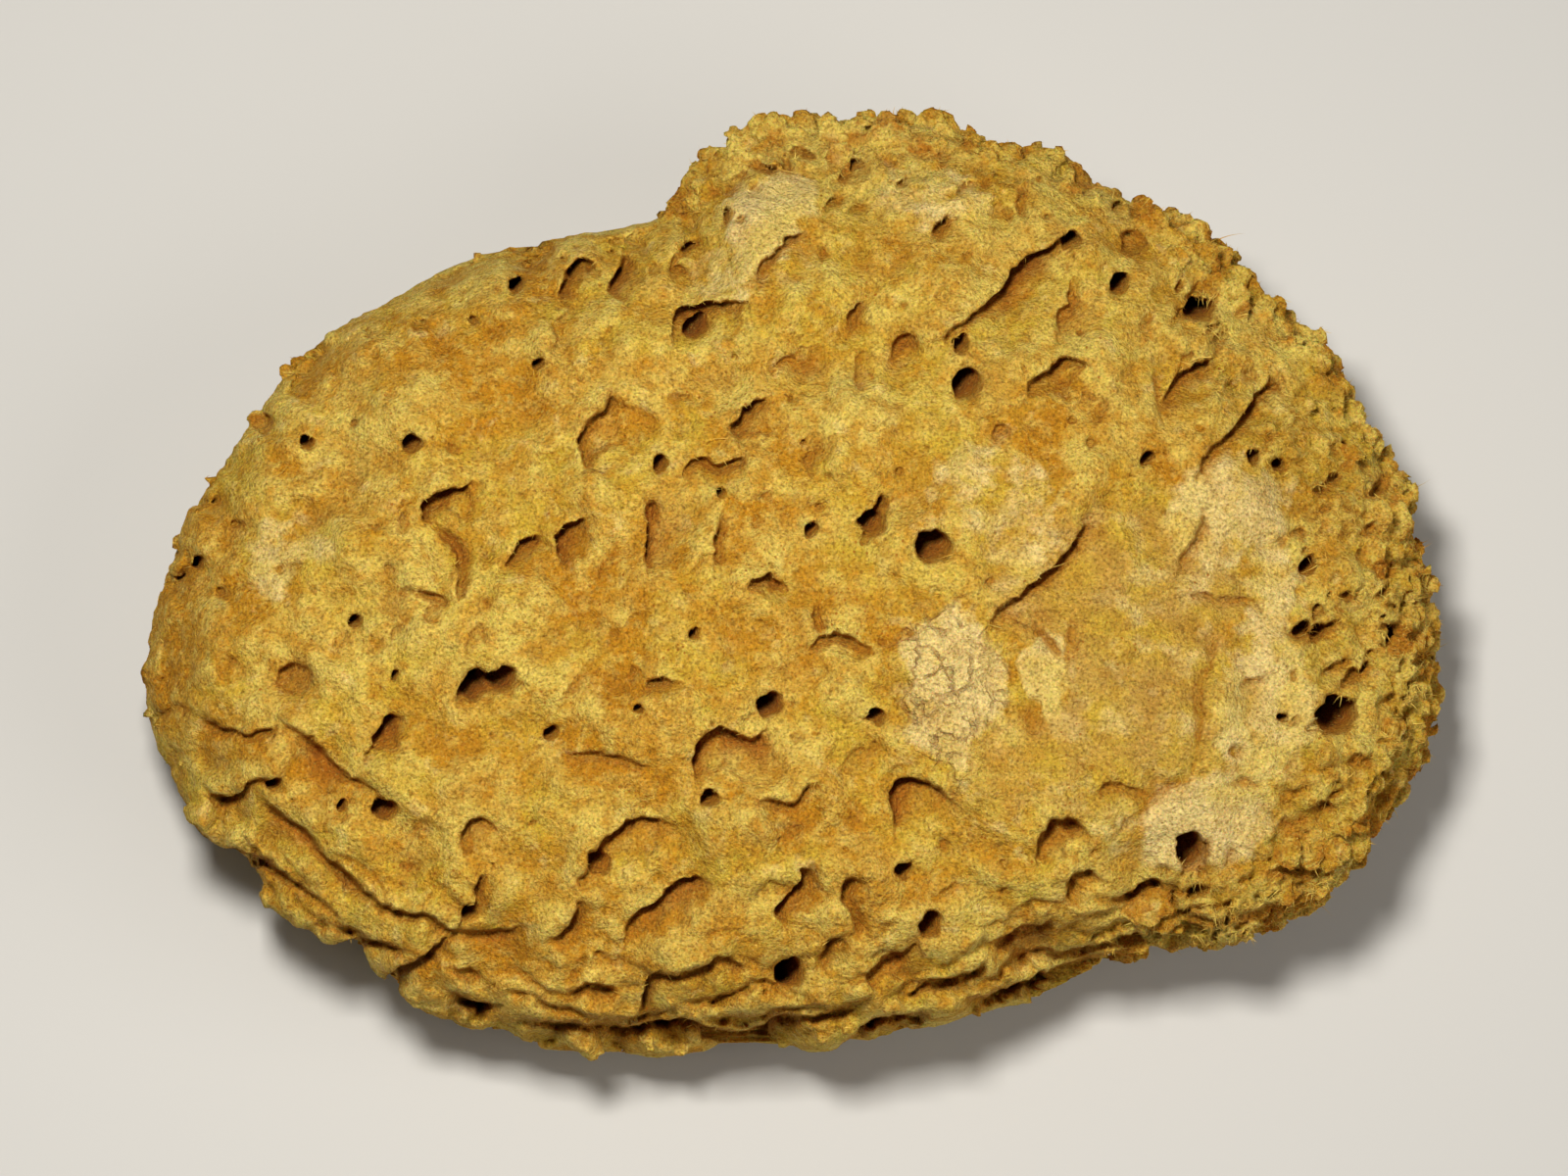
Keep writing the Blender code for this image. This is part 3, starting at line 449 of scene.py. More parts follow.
def smoothstep(low, high, value):
    """0 below low, 1 above high, eased between."""
    t = np.clip((value - low) / (high - low), 0.0, 1.0)
    return t * t * (3 - 2 * t)


# The depth map: how far the skin lies below the smooth body, over the leaning plane.

MAP_U, MAP_V = np.meshgrid(
    MAP_LOW[0] + MAP_STEP * np.arange(MAP_SIZE[0]),
    MAP_LOW[1] + MAP_STEP * np.arange(MAP_SIZE[1]),
    indexing="ij",
)


def window(low, high):
    """The slice of the map that covers a rectangle."""
    first = np.clip(((np.array(low) - MAP_LOW) / MAP_STEP).astype(int), 0, MAP_SIZE)
    last = np.clip(((np.array(high) - MAP_LOW) / MAP_STEP).astype(int) + 2, 0, MAP_SIZE)
    return slice(first[0], last[0]), slice(first[1], last[1])


def smooth_line(points, spacing=1.0):
    """Places at an even spacing on a Catmull-Rom curve through the given ones."""
    points = np.array(points, float)
    places = []
    for i in range(len(points) - 1):
        p0, p1 = points[max(0, i - 1)], points[i]
        p2, p3 = points[i + 1], points[min(len(points) - 1, i + 2)]
        for t in np.arange(0.0, 1.0, min(1.0, spacing / np.linalg.norm(p2 - p1))):
            places.append(0.5 * (
                2 * p1 + (p2 - p0) * t + (2 * p0 - 5 * p1 + 4 * p2 - p3) * t * t
                + (3 * p1 - p0 - 3 * p2 + p3) * t**3
            ))
    return np.array(places + [points[-1]])


def ledge_profile(side, depth, reach):
    """Depth past the lip: a drop to a cleft, then a floor that rises. Before it, a low lip."""
    edge = smoothstep(-0.1, 0.8, side)
    floor = depth * np.clip(1 - side / reach, 0, 1) ** 1.35 * edge
    cleft = CLEFT_DEPTH * min(1.0, depth / 2) * edge * (1 - smoothstep(0.6, CLEFT_WIDTH, side))
    lip = -min(0.5, 0.16 * depth) * np.exp(-np.abs(side) / 1.3) * (side < 0.1)
    lip -= 0.2 * depth * np.exp(-(((side - reach) / (0.45 * reach)) ** 2)) * (side > 0)
    return floor + cleft, lip


def carve_ledge(low, lips, warped, line, depth, reach):
    """Adds one ledge to the map of drops and the map of lips."""
    places = smooth_line(line)
    margin = reach + 3.0
    area = window(places.min(0) - margin, places.max(0) + margin)
    u, v = warped[0][area], warped[1][area]
    start, run = places[:-1], np.diff(places, axis=0)
    length2 = (run**2).sum(1)
    du = u[..., None] - start[:, 0]
    dv = v[..., None] - start[:, 1]
    raw = (du * run[:, 0] + dv * run[:, 1]) / length2
    t = np.clip(raw, 0, 1)
    away = np.hypot(du - t * run[:, 0], dv - t * run[:, 1])
    near = away.argmin(-1)[..., None]

    def nearest(values):
        return np.take_along_axis(values, near, -1)[..., 0]

    cross = run[:, 1] * du - run[:, 0] * dv
    side = nearest(away) * np.sign(nearest(cross))
    along = (near[..., 0] + nearest(t)) / len(run)
    span = np.sqrt(length2[near[..., 0]])
    beyond = np.maximum(0, np.maximum(-nearest(raw), nearest(raw) - 1)) * span
    beyond *= (along <= 0) | (along >= 1)
    taper = 0.3 + 0.7 * np.sin(np.pi * np.clip(along, 0, 1)) ** 0.5
    fade = np.clip(1 - beyond / (0.25 * reach + 0.6), 0, 1) ** 0.7
    floor, lip = ledge_profile(side, depth, reach * (0.6 + 0.4 * taper))
    floor *= taper * fade
    lip *= taper * fade
    low[area] = np.maximum(low[area], floor)
    lips[area] = np.minimum(lips[area], lip)


def carve_pit(low, warped, u, v, radius, depth, stretch=1.0, turn=0.0):
    """Adds one round pit to the map of drops, with a soft shoulder round its mouth."""
    reach = radius * max(stretch, 1.0) * 2.2 + 0.6
    area = window((u - reach, v - reach), (u + reach, v + reach))
    du, dv = warped[0][area] - u, warped[1][area] - v
    c, s = math.cos(turn), math.sin(turn)
    out = np.hypot((du * c + dv * s) / stretch, -du * s + dv * c) / radius
    fall = 0.74 + 0.42 * (dv - du) / (1.41 * radius) * (0.75 + 0.25 * math.sin(12.9 * u + 7.3 * v))
    bore = depth * (1 - smoothstep(0.8, 1.15, out)) * np.clip(fall, 0.35, 1.05)
    shoulder = 0.35 * min(radius, 1.6) * np.exp(-np.maximum(0, out - 1) * 2.2) * (out > 0.8)
    low[area] = np.maximum(low[area], np.maximum(bore, shoulder * (1 - smoothstep(1.6, 2.2, out))))


def oval(u, v, patch):
    """1 inside a soft-edged oval, 0 outside."""
    cu, cv, half_u, half_v, turn, strength = patch
    c, s = math.cos(math.radians(turn)), math.sin(math.radians(turn))
    du, dv = u - cu, v - cv
    out = np.hypot((du * c + dv * s) / half_u, (-du * s + dv * c) / half_v)
    return strength * (1 - smoothstep(0.62, 1.15, out))


def edge_distance():
    """How far each place of the map lies inside the sponge's outline as seen."""
    back = (MAP_V - SEEN_RISE) / SEEN_DEPTH
    return outline_radius(np.arctan2(back, MAP_U)) - np.hypot(MAP_U, back)


def spots(count, spacing, allowed):
    """Random places no closer than a spacing, kept by a map of where they may lie."""
    kept = []
    for _ in range(count * 12):
        u, v = chance.uniform(-100, 100), chance.uniform(-74, 74)
        i, j = ((np.array((u, v)) - MAP_LOW) / MAP_STEP).astype(int)
        if chance.random() > allowed[i, j]:
            continue
        if kept and min(np.hypot(np.array(kept)[:, 0] - u, np.array(kept)[:, 1] - v)) < spacing:
            continue
        kept.append((u, v))
        if len(kept) == count:
            break
    return kept


def chance_ledge(place, lengths, depths, reaches, lean):
    """A bowed line at a place, with its depth and reach."""
    length = chance.uniform(*lengths)
    turn = math.radians(lean) + chance.normal() * 0.6
    t = np.linspace(-0.5, 0.5, 5)
    bow = chance.uniform(0.1, 0.45) * length
    x = t * length
    y = bow * (0.5 - 2 * t**2) + chance.normal(size=5) * 0.06 * length
    line = np.stack((place[0] + x * math.cos(turn) - y * math.sin(turn),
                     place[1] + x * math.sin(turn) + y * math.cos(turn)), 1)
    return line, chance.uniform(*depths), chance.uniform(*reaches)


def strata_lines(row, inset):
    """The lines of one row of strata, one after the other along the front."""
    bearing = STRATA_FROM + chance.uniform(0, 0.12)
    while bearing < STRATA_TO:
        length = chance.uniform(14, 34)
        angle = bearing + np.linspace(0, length / FRONT_RADIUS, 9)
        wave = inset + np.sin(angle * 23 + row * 2) + chance.normal(size=9) * 0.25
        reach = outline_radius((angle + math.pi) % math.tau - math.pi) - wave
        yield np.stack((reach * np.cos(angle), SEEN_DEPTH * reach * np.sin(angle) + SEEN_RISE), 1)
        bearing += length / FRONT_RADIUS * chance.uniform(0.9, 1.35)


def map_waves(wave, seed):
    """Smooth noise over the map."""
    return flat_waves(MAP_U, MAP_V, wave, seed)


def warped_places():
    """The map's places, wavered finely for holes and broadly for patches of colour."""
    holes = [
        0.7 * map_waves(6.0, 11 + axis) + 0.46 * map_waves(1.9, 21 + axis)
        + 0.26 * map_waves(0.9, 25 + axis)
        for axis in range(2)
    ]
    patches = [
        3.0 * map_waves(9.0, 31 + axis) + 1.6 * map_waves(3.2, 41 + axis)
        for axis in range(2)
    ]
    return (MAP_U + holes[0], MAP_V + holes[1]), (MAP_U + patches[0], MAP_V + patches[1])


def zone_maps(patch_u, patch_v):
    """Where the colours, the crust, the frilled rim, the layered front and the plain skin lie."""

    def painted(patches):
        return np.max([oval(patch_u, patch_v, patch) for patch in patches], 0)

    crust = painted(CRUST_PATCHES)
    tan = painted(TAN_PATCHES) * (1 - crust)
    inside = edge_distance()
    right = smoothstep(58, 74, MAP_U + 0.25 * np.abs(MAP_V))
    lobe = smoothstep(48, 60, MAP_V - 0.12 * MAP_U) * (MAP_U > -19)
    frill = np.maximum(right * smoothstep(30, 16, inside), lobe) * (1 - 0.7 * crust) * (1 - tan)
    return {
        "crust": crust,
        "tan": tan,
        "inside": inside,
        "frill": frill,
        "flakes": painted((FLAKES,)),
        "pale": painted(PALE_PATCHES),
        "orange": painted(ORANGE_PATCHES),
        "front": smoothstep(24, 8, inside) * smoothstep(-20, -40, MAP_V),
        "plain": (1 - frill) * (1 - crust) * (1 - tan) * (inside > 3),
    }


def carved_maps(zones, warped):
    """The map of drops at ledges and pits, and the map of the lips before the drops."""
    low = np.zeros(MAP_SIZE)
    lips = np.zeros(MAP_SIZE)
    open_frill = zones["frill"] * (1 - zones["crust"])
    allowed = {"plain": zones["plain"] * 0.9, "front": zones["front"], "frill": open_frill}
    for line, depth, reach in LEDGES:
        carve_ledge(low, lips, warped, line, LEDGE_DEPTH * depth, reach)
    for count, spacing, zone, *sizes in SCATTERED_LEDGES:
        for place in spots(count, spacing, allowed[zone]):
            carve_ledge(low, lips, warped, *chance_ledge(place, *sizes))
    for row, (inset, strength) in enumerate(STRATA_ROWS):
        for line in strata_lines(row, inset):
            depth = strength * chance.uniform(0.7, 1.1)
            carve_ledge(low, lips, warped, line, depth, chance.uniform(2.6, 4.2))

    for u, v, radius in DEEP_PITS:
        carve_pit(low, warped, u, v, radius, 6.5 + 2.4 * radius, 1.15, 0.7)
    for u, v, radius in SHALLOW_PITS:
        carve_pit(low, warped, u, v, radius, 0.8 + 1.1 * radius, 1.1, 0.4)
    for u, v in spots(120, 4.0, zones["plain"]):
        carve_pit(low, warped, u, v, chance.uniform(0.25, 0.5), chance.uniform(0.6, 2.0),
                  chance.uniform(1.0, 1.6), chance.uniform(0, 3))
    for u, v in spots(110, 3.0, open_frill):
        carve_pit(low, warped, u, v, chance.uniform(0.35, 0.8), chance.uniform(0.8, 3.0),
                  chance.uniform(1.2, 2.4), math.radians(45) + chance.normal() * 0.4)
    for u, v, radius in EDGE_NOTCHES:
        carve_pit(low, warped, u, v, radius, 2.0 * radius, 1.2, 2.4)
    return low, lips


def make_maps():
    """The depth map and the maps that the finish reads."""
    warped, patches = warped_places()
    zones = zone_maps(*patches)
    low, lips = carved_maps(zones, warped)
    crust, frill, inside = zones["crust"], zones["frill"], zones["inside"]

    # Hummocks between the ledges, and small jags at the outline.
    rough = 0.5 + 0.5 * np.clip(zones["plain"] + zones["front"], 0, 1)
    hummocks = 2.5 * map_waves(14.0, 51) + 1.3 * map_waves(7.0, 57)
    hummocks -= 1.5 * np.abs(flat_waves(*warped, 6.5, 52)) - 0.5
    fine = 0.26 * map_waves(2.6, 53) + 0.16 * map_waves(1.2, 58)
    jags = 0.5 * map_waves(1.8, 61) + 0.7 * map_waves(3.3, 59) + 0.9 * map_waves(6.0, 60)
    fine += jags * (1 - 0.55 * smoothstep(-12, -25, MAP_V)) * smoothstep(7, 1, inside)

    # Folds of the frilled rim, which turn to ridges at the outline.
    across, along = warped
    folds = np.abs(flat_waves((across + along) / 5.2, (along - across) / 3.0, 1.0, 54))
    creases = np.abs(flat_waves(across, along, 1.7, 55))
    tips = smoothstep(8, 2, inside)
    ridges = (1 - tips) * (2.0 * folds + creases - 0.9)
    ridges += tips * (1.3 - 2.0 * folds - 1.6 * creases)
    ridges += 0.5 * map_waves(4.5, 62)

    # The crust: a thin raised sheet, with plates and cracks where it flakes.
    plates = np.floor(flat_waves(*patches, 2.6, 56) * 3.0) / 3.0
    cracks = np.exp(-((flat_waves(*patches, 4.2, 64) / 0.07) ** 2))
    cracks += np.exp(-((flat_waves(*warped, 2.4, 65) / 0.08) ** 2))
    sheet = smoothstep(0.30, 0.48, crust + 0.2 * map_waves(1.3, 63))

    depth = low + lips * np.clip(1 - low / 0.5, 0, 1)
    depth += rough * hummocks + (1 - 0.8 * crust) * fine
    depth -= (1.0 + tips) * frill * ridges
    depth -= 0.5 * sheet * (1 - zones["flakes"])
    depth -= zones["flakes"] * (0.5 + 0.8 * plates - 0.55 * cracks)
    # How steep the drops' walls are, which the finish paints reddish brown as painted shade.
    steep_u, steep_v = np.gradient(low, MAP_STEP)
    wall = smoothstep(0.6, 1.7, np.hypot(steep_u, steep_v)) * smoothstep(0.1, 0.7, low)
    # sunk is how far the skin lies below its blurred surroundings; the finish paints low places as
    # painted shade and high places as painted light.
    return zones | {"depth": depth, "sunk": depth - blurred(depth, 3.5), "wall": wall}


def blurred(values, reach):
    """A map averaged over squares of twice the reach, twice over."""
    cells = int(round(reach / MAP_STEP))
    for _ in range(2):
        for axis in range(2):
            before = np.repeat(np.take(values, [0], axis), cells + 1, axis)
            after = np.repeat(np.take(values, [-1], axis), cells, axis)
            padded = np.concatenate([before, values, after], axis)
            total = np.cumsum(padded, axis)
            high = np.take(total, np.arange(2 * cells + 1, padded.shape[axis]), axis)
            low = np.take(total, np.arange(0, padded.shape[axis] - 2 * cells - 1), axis)
            values = (high - low) / (2 * cells + 1)
    return values


def look_up(values, u, v):
    """A map's values at places, blended between its four nearest."""
    at = (u - MAP_LOW[0]) / MAP_STEP, (v - MAP_LOW[1]) / MAP_STEP
    i = np.clip(at[0].astype(np.int32), 0, MAP_SIZE[0] - 2)
    j = np.clip(at[1].astype(np.int32), 0, MAP_SIZE[1] - 2)
    a, b = np.clip(at[0] - i, 0, 1), np.clip(at[1] - j, 0, 1)
    flat = values.ravel()
    k = i * MAP_SIZE[1] + j
    return ((flat[k] * (1 - a) + flat[k + MAP_SIZE[1]] * a) * (1 - b)
            + (flat[k + 1] * (1 - a) + flat[k + MAP_SIZE[1] + 1] * a) * b)


def on_plane(points):
    """Where points are seen on the leaning plane, and how far they stand toward the eye."""
    away = points - SIGHT_CENTRE
    near = away @ TOWARD_EYE
    scale = EYE_DISTANCE / (EYE_DISTANCE - near)
    return away @ ACROSS * scale, away @ UPWARD * scale, near


def top_map(tree):
    """How far the smooth body stands toward the eye over the leaning plane."""
    top = np.full(MAP_SIZE, -60.0)
    coarse = 5
    eye = Vector(TOWARD_EYE)
    for i in range(0, MAP_SIZE[0], coarse):
        for j in range(0, MAP_SIZE[1], coarse):
            u, v = MAP_U[i, j], MAP_V[i, j]
            start = Vector(SIGHT_CENTRE + ACROSS * u + UPWARD * v) + eye * 200
            hit = tree.ray_cast(start, -eye)[0]
            if hit is not None:
                top[i:i + coarse, j:j + coarse] = 200 - (hit - start).length
    return top


# The solid's field: negative inside, in millimetres from the skin.


def body_field(points, triangles):
    """Distance from the smooth body on the grid."""
    grid = openvdb.FloatGrid.createLevelSetFromPolygons(
        points.astype(np.float32), triangles=triangles,
        transform=openvdb.createLinearTransform(voxelSize=VOXEL), halfWidth=BAND / VOXEL,
    )
    field = np.full(GRID_SIZE, BAND, np.float32)
    grid.copyToArray(field, ijk=GRID_LOW.tolist())
    return field


def places_of(flat):
    """Positions of the grid's cells, by their flat index."""
    ijk = np.stack(np.unravel_index(flat, GRID_SIZE), 1)
    return (ijk + GRID_LOW) * VOXEL


def seen_share(u, v, near, deep, top):
    """1 where the depth map holds, 0 on the sides and underside that the eye can't see."""
    behind = look_up(top, u, v) - near
    return np.clip(1 - (behind - 2.6 * deep - 4.5) / 3.5, 0, 1)


def carve_seen(field, body, maps, top):
    """Lowers the skin by the depth map, with pits and lips that lean."""
    cells = np.flatnonzero(body < 4.5)
    for start in range(0, len(cells), 1000000):
        part = cells[start:start + 1000000]
        inside = body.ravel()[part]
        deep = np.maximum(0, -inside)
        u, v, near = on_plane(places_of(part))
        share = seen_share(u, v, near, deep, top)
        drop = look_up(maps["depth"], u + SLANT[0] * deep, v + SLANT[1] * deep)
        field.ravel()[part] = inside + np.maximum(drop, -3.5) * share


def box_of(centre, reach):
    """The slices of the grid round a point, and its cells' positions."""
    low = np.clip(((centre - reach) / VOXEL - GRID_LOW).astype(int), 0, GRID_SIZE)
    high = np.clip(((centre + reach) / VOXEL - GRID_LOW).astype(int) + 2, 0, GRID_SIZE)
    area = tuple(slice(a, b) for a, b in zip(low, high))
    axes = [np.arange(a, b) for a, b in zip(low, high)]
    cells = np.stack(np.meshgrid(*axes, indexing="ij"), -1)
    return area, (cells + GRID_LOW) * VOXEL


def carve_tunnel(field, centre, normal, radius, depth, bend):
    """A round hole from a point of the skin inward, widening a little."""
    area, cells = box_of(centre, depth + 2.0)
    way = -normal + bend
    way /= np.linalg.norm(way)
    away = cells - (centre - way * 1.5)
    run = np.clip(away @ way, 0, depth + 1.5)
    out = np.linalg.norm(away - run[..., None] * way, axis=-1)
    wide = radius * (1 + 0.35 * run / (depth + 1.5))
    field[area] = np.maximum(field[area], wide - out)


def raise_scale(field, root, way, radius, length):
    """A broad blunt scale that stands out of the skin, with its flat toward the eye."""
    area, cells = box_of(root, length + 3.5)
    away = cells - root
    along = np.clip(away @ way, 0, length)
    thin = TOWARD_EYE - (TOWARD_EYE @ way) * way
    thin /= np.linalg.norm(thin)
    wide = np.cross(way, thin)
    past = away @ way - along
    out = np.sqrt(past**2 + (1.7 * (away @ thin)) ** 2 + (0.45 * (away @ wide)) ** 2)
    field[area] = np.minimum(field[area], out - radius * (1 - 0.6 * (along / length) ** 1.6))


def faces_of(points, triangles):
    """The triangles' middles, normals and areas, the last in twice a square millimetre."""
    corners = points[triangles]
    normals = np.cross(corners[:, 1] - corners[:, 0], corners[:, 2] - corners[:, 0])
    areas = np.linalg.norm(normals, axis=1)
    return corners.mean(1), normals / (areas[:, None] + 1e-9), areas


def raise_rim(field, points, triangles, maps):
    """Scales over the frilled rim, thickest at the outline, leaning outward."""
    middles, normals, areas = faces_of(points, triangles)
    u, v, near = on_plane(middles)
    frill, inside = look_up(maps["frill"], u, v), look_up(maps["inside"], u, v)
    facing = normals @ TOWARD_EYE
    weight = areas * frill**2 * np.exp(-((inside / 6.5) ** 2)) * smoothstep(-0.95, -0.1, facing)
    weight *= smoothstep(0.95, 0.75, facing)
    weight += 0.10 * areas * (inside < 2.5) * (facing > -0.1) * (facing < 0.5) * (v > -30)
    for i in chance.choice(len(areas), RIM_SCALES, replace=False, p=weight / weight.sum()):
        outward = middles[i] * (1.0, 1.0, 0.0)
        way = normals[i] + 0.6 * outward / np.linalg.norm(outward) + chance.normal(size=3) * 0.35
        way /= np.linalg.norm(way)
        share = 1.0 if frill[i] > 0.3 else 0.6
        length = share * chance.uniform(2.0, 4.3)
        radius = share * chance.uniform(0.75, 1.5)
        raise_scale(field, middles[i] - 1.5 * normals[i], way, radius, length)


def carve_shelf(field, body, centre, normal, along, length, depth, reach):
    """A bowed ledge across a side wall, with its drop below it."""
    side = np.cross(along, normal)
    area, cells = box_of(centre, max(length, reach) + 2.0)
    away = cells - centre
    a = away @ along / (0.5 * length)
    phase = chance.uniform(0, 6, 2)
    wobble = 0.5 * np.sin(a * length * 0.9 + phase[0]) + 0.3 * np.sin(a * length * 2.3 + phase[1])
    s = away @ side + 0.22 * length * a * a + wobble
    deep = np.maximum(0, -body[area])
    s = s + 0.3 * deep
    floor = np.clip(1 - s / reach, 0, 1) ** 1.3 * smoothstep(-0.1, 0.5, s)
    full = np.clip(1 - np.abs(a), 0, 1) ** 0.5
    near = np.abs(away @ normal) < 9
    field[area] = np.maximum(field[area], np.where(near, body[area] + depth * floor * full, -BAND))


def carve_hidden(field, body, points, triangles, top):
    """Tunnels and shelves over the sides, the back and the flat underside."""
    middles, normals, areas = faces_of(points, triangles)
    u, v, near = on_plane(middles)
    hidden = seen_share(u, v, near, 0, top) < 0.5
    under = hidden & (middles[:, 2] < 0.3)
    walls = hidden & ~under

    def pick(where, count):
        weight = areas * where
        return chance.choice(len(areas), count, replace=False, p=weight / weight.sum())

    level = np.array((0.0, 0.0, 1.0))
    for i in pick(walls, WALL_SHELVES):
        along = np.cross(normals[i], level)
        along /= np.linalg.norm(along) + 1e-9
        along = along + level * chance.normal() * 0.15
        carve_shelf(field, body, middles[i], normals[i], -along / np.linalg.norm(along),
                    chance.uniform(6, 20), chance.uniform(1.2, 3.6), chance.uniform(3, 8))
    for where, count, least, spare, lean in ((walls, WALL_TUNNELS, 0.45, 1.5, 0.25),
                                             (under, UNDER_TUNNELS, 0.4, 2.1, 0.2)):
        for i in pick(where, count):
            radius = least + spare * chance.random() ** 3
            bend = chance.normal(size=3) * lean
            carve_tunnel(field, middles[i], normals[i], radius, 2 + 2.5 * radius, bend)


def roughen(field, body, maps, top):
    """Small lumps and creases everywhere, smoother on the crust, and longer on hidden sides."""
    cells = np.flatnonzero(np.abs(field) < 1.4)
    places = places_of(cells)
    deep = np.maximum(0, -body.ravel()[cells])
    u, v, near = on_plane(places)
    share = seen_share(u, v, near, deep, top)
    u, v = u + SLANT[0] * deep, v + SLANT[1] * deep
    crust = look_up(maps["crust"], u, v) * share
    frill = np.maximum(look_up(maps["frill"], u, v) * share, 0)
    hidden = 1 - share
    lumps = 0.30 * waves(places, 3.4, 71) + 0.16 * waves(places, 1.7, 72)
    creases = 0.5 * (1 - 2.4 * np.abs(waves(places, 2.3, 73)))
    hummocks = 0.9 * waves(places, 9.0, 74)
    creased = (0.10 + 0.55 * frill + 0.25 * hidden) * (1 - crust)
    change = lumps * (1 - 0.75 * crust) + creases * creased
    field.ravel()[cells] -= change + hidden * hummocks * (places[:, 2] > 1.5)


def skin_mesh(field):
    """The skin at the field's zero, as points and triangles, without loose crumbs."""
    grid = openvdb.FloatGrid(3 * VOXEL)
    grid.transform = openvdb.createLinearTransform(voxelSize=VOXEL)
    grid.copyFromArray(np.clip(field, -3 * VOXEL, 3 * VOXEL), ijk=GRID_LOW.tolist())
    points, _, quads = grid.convertToPolygons(isovalue=0.0, adaptivity=0.0)
    quads = quads[:, ::-1].astype(np.int64)
    label = np.arange(len(points))
    ends = np.concatenate([quads[:, [k, (k + 1) % 4]] for k in range(4)])
    while True:
        least = np.minimum(label[ends[:, 0]], label[ends[:, 1]])
        fresh = label.copy()
        np.minimum.at(fresh, ends[:, 0], least)
        np.minimum.at(fresh, ends[:, 1], least)
        fresh = fresh[fresh]
        if (fresh == label).all():
            break
        label = fresh
    largest = np.bincount(label).argmax()
    quads = quads[label[quads[:, 0]] == largest]
    used, index = np.unique(quads, return_inverse=True)
    return points[used].astype(np.float64), index.reshape(-1, 4)


def new_mesh_object(name, points, faces):
    """An object of the scene from points in metres."""
    mesh = bpy.data.meshes.new(name)
    mesh.from_pydata(points.tolist(), [], faces.tolist())
    made = bpy.data.objects.new(name, mesh)
    bpy.context.scene.collection.objects.link(made)
    return made


def baked(made):
    """The object with its modifiers' result as its own mesh."""
    graph = bpy.context.evaluated_depsgraph_get()
    mesh = bpy.data.meshes.new_from_object(made.evaluated_get(graph))
    mesh.name = made.name
    made.modifiers.clear()
    made.data = mesh
    return made


def triangle_count(made):
    """How many triangles the object's faces make."""
    return len(made.data.loops) - 2 * len(made.data.polygons)


def thin(made, triangles, group=""):
    """Joins triangles where the form loses least by it, in a vertex group or all over."""
    fewer = made.modifiers.new("Fewer triangles", "DECIMATE")
    fewer.ratio = min(1.0, triangles / triangle_count(made))
    fewer.vertex_group = group
    baked(made)


def make_skin():
    """The sponge's skin, and the middle of its solid."""
    points, triangles, tree = smooth_body()
    middle = np.append((points.min(0)[:2] + points.max(0)[:2]) / 2, 0.0)
    body = body_field(points, triangles)
    maps = make_maps()
    top = top_map(tree)
    field = body.copy()
    carve_seen(field, body, maps, top)
    carve_hidden(field, body, points, triangles, top)
    raise_rim(field, points, triangles, maps)
    roughen(field, body, maps, top)
    heights = (np.arange(GRID_SIZE[2]) + GRID_LOW[2]) * VOXEL
    field = np.maximum(field, -heights[None, None, :].astype(np.float32))
    found, faces = skin_mesh(field)
    found[:, 2] = np.maximum(found[:, 2], 0.0)

    skin = new_mesh_object("sponge_skin", found * MM, faces)
    u, v, near = on_plane(found)
    share = seen_share(u, v, near, 0, top)
    hidden = np.flatnonzero(share < 0.5)
    unseen = skin.vertex_groups.new(name="unseen")
    unseen.add(hidden.tolist(), 1.0, "REPLACE")
    spare = 2 * len(hidden) - UNSEEN_TRIANGLES
    thin(skin, 2 * len(faces) - max(0, spare), "unseen")
    skin.vertex_groups.clear()
    thin(skin, SKIN_TRIANGLES)

    store_maps(skin, body, maps, top)
    skin.data.transform(Matrix.Translation(-middle * MM))
    skin.data.shade_smooth()
    return skin, middle


STORED_MAPS = ("crust", "tan", "frill", "flakes", "orange", "pale", "sunk", "wall")


def store_maps(skin, body, maps, top):
    """Stores what the finish and the fibres read on the skin's points."""
    places = np.empty(len(skin.data.vertices) * 3, np.float32)
    skin.data.vertices.foreach_get("co", places)
    places = places.reshape(-1, 3).astype(np.float64) / MM
    cell = np.clip(np.round(places / VOXEL - GRID_LOW).astype(int), 0, np.array(GRID_SIZE) - 1)
    deep = np.maximum(0, -body[cell[:, 0], cell[:, 1], cell[:, 2]])
    u, v, near = on_plane(places)
    share = seen_share(u, v, near, deep, top)
    u, v = u + SLANT[0] * deep, v + SLANT[1] * deep
    kept = {name: look_up(maps[name], u, v) * share for name in STORED_MAPS}
    # How deep a point lies inside the smooth body; the finish paints deeper places amber, then
    # dark brown, as painted shade in the hollows.
    kept["hollow"] = np.clip(deep / 7.0, 0, 1)
    open_skin = np.clip(1.3 - deep / 3.0, 0, 1) * (places[:, 2] > 2.2)
    kept["felt"] = share * (1 - 0.55 * kept["crust"]) * open_skin
    kept["sides"] = (1 - share) * open_skin
    kept["hairs"] = kept["felt"] * smoothstep(18, 30, places[:, 2])
    kept["front_felt"] = kept["felt"] * (v < FRONT_FELT_BELOW)
    kept["felt"] = kept["felt"] * (v >= FRONT_FELT_BELOW)
    kept["tufts"] = kept["frill"] * np.clip(1.3 - deep / 2.0, 0, 1)
    for name, values in kept.items():
        layer = skin.data.attributes.new(name, "FLOAT", "POINT")
        layer.data.foreach_set("value", values.astype(np.float32))


# Finish.

GOLD = (0.55, 0.365, 0.036, 1)
ORANGE = (0.480, 0.220, 0.011, 1)
STRAW = (0.68, 0.515, 0.108, 1)
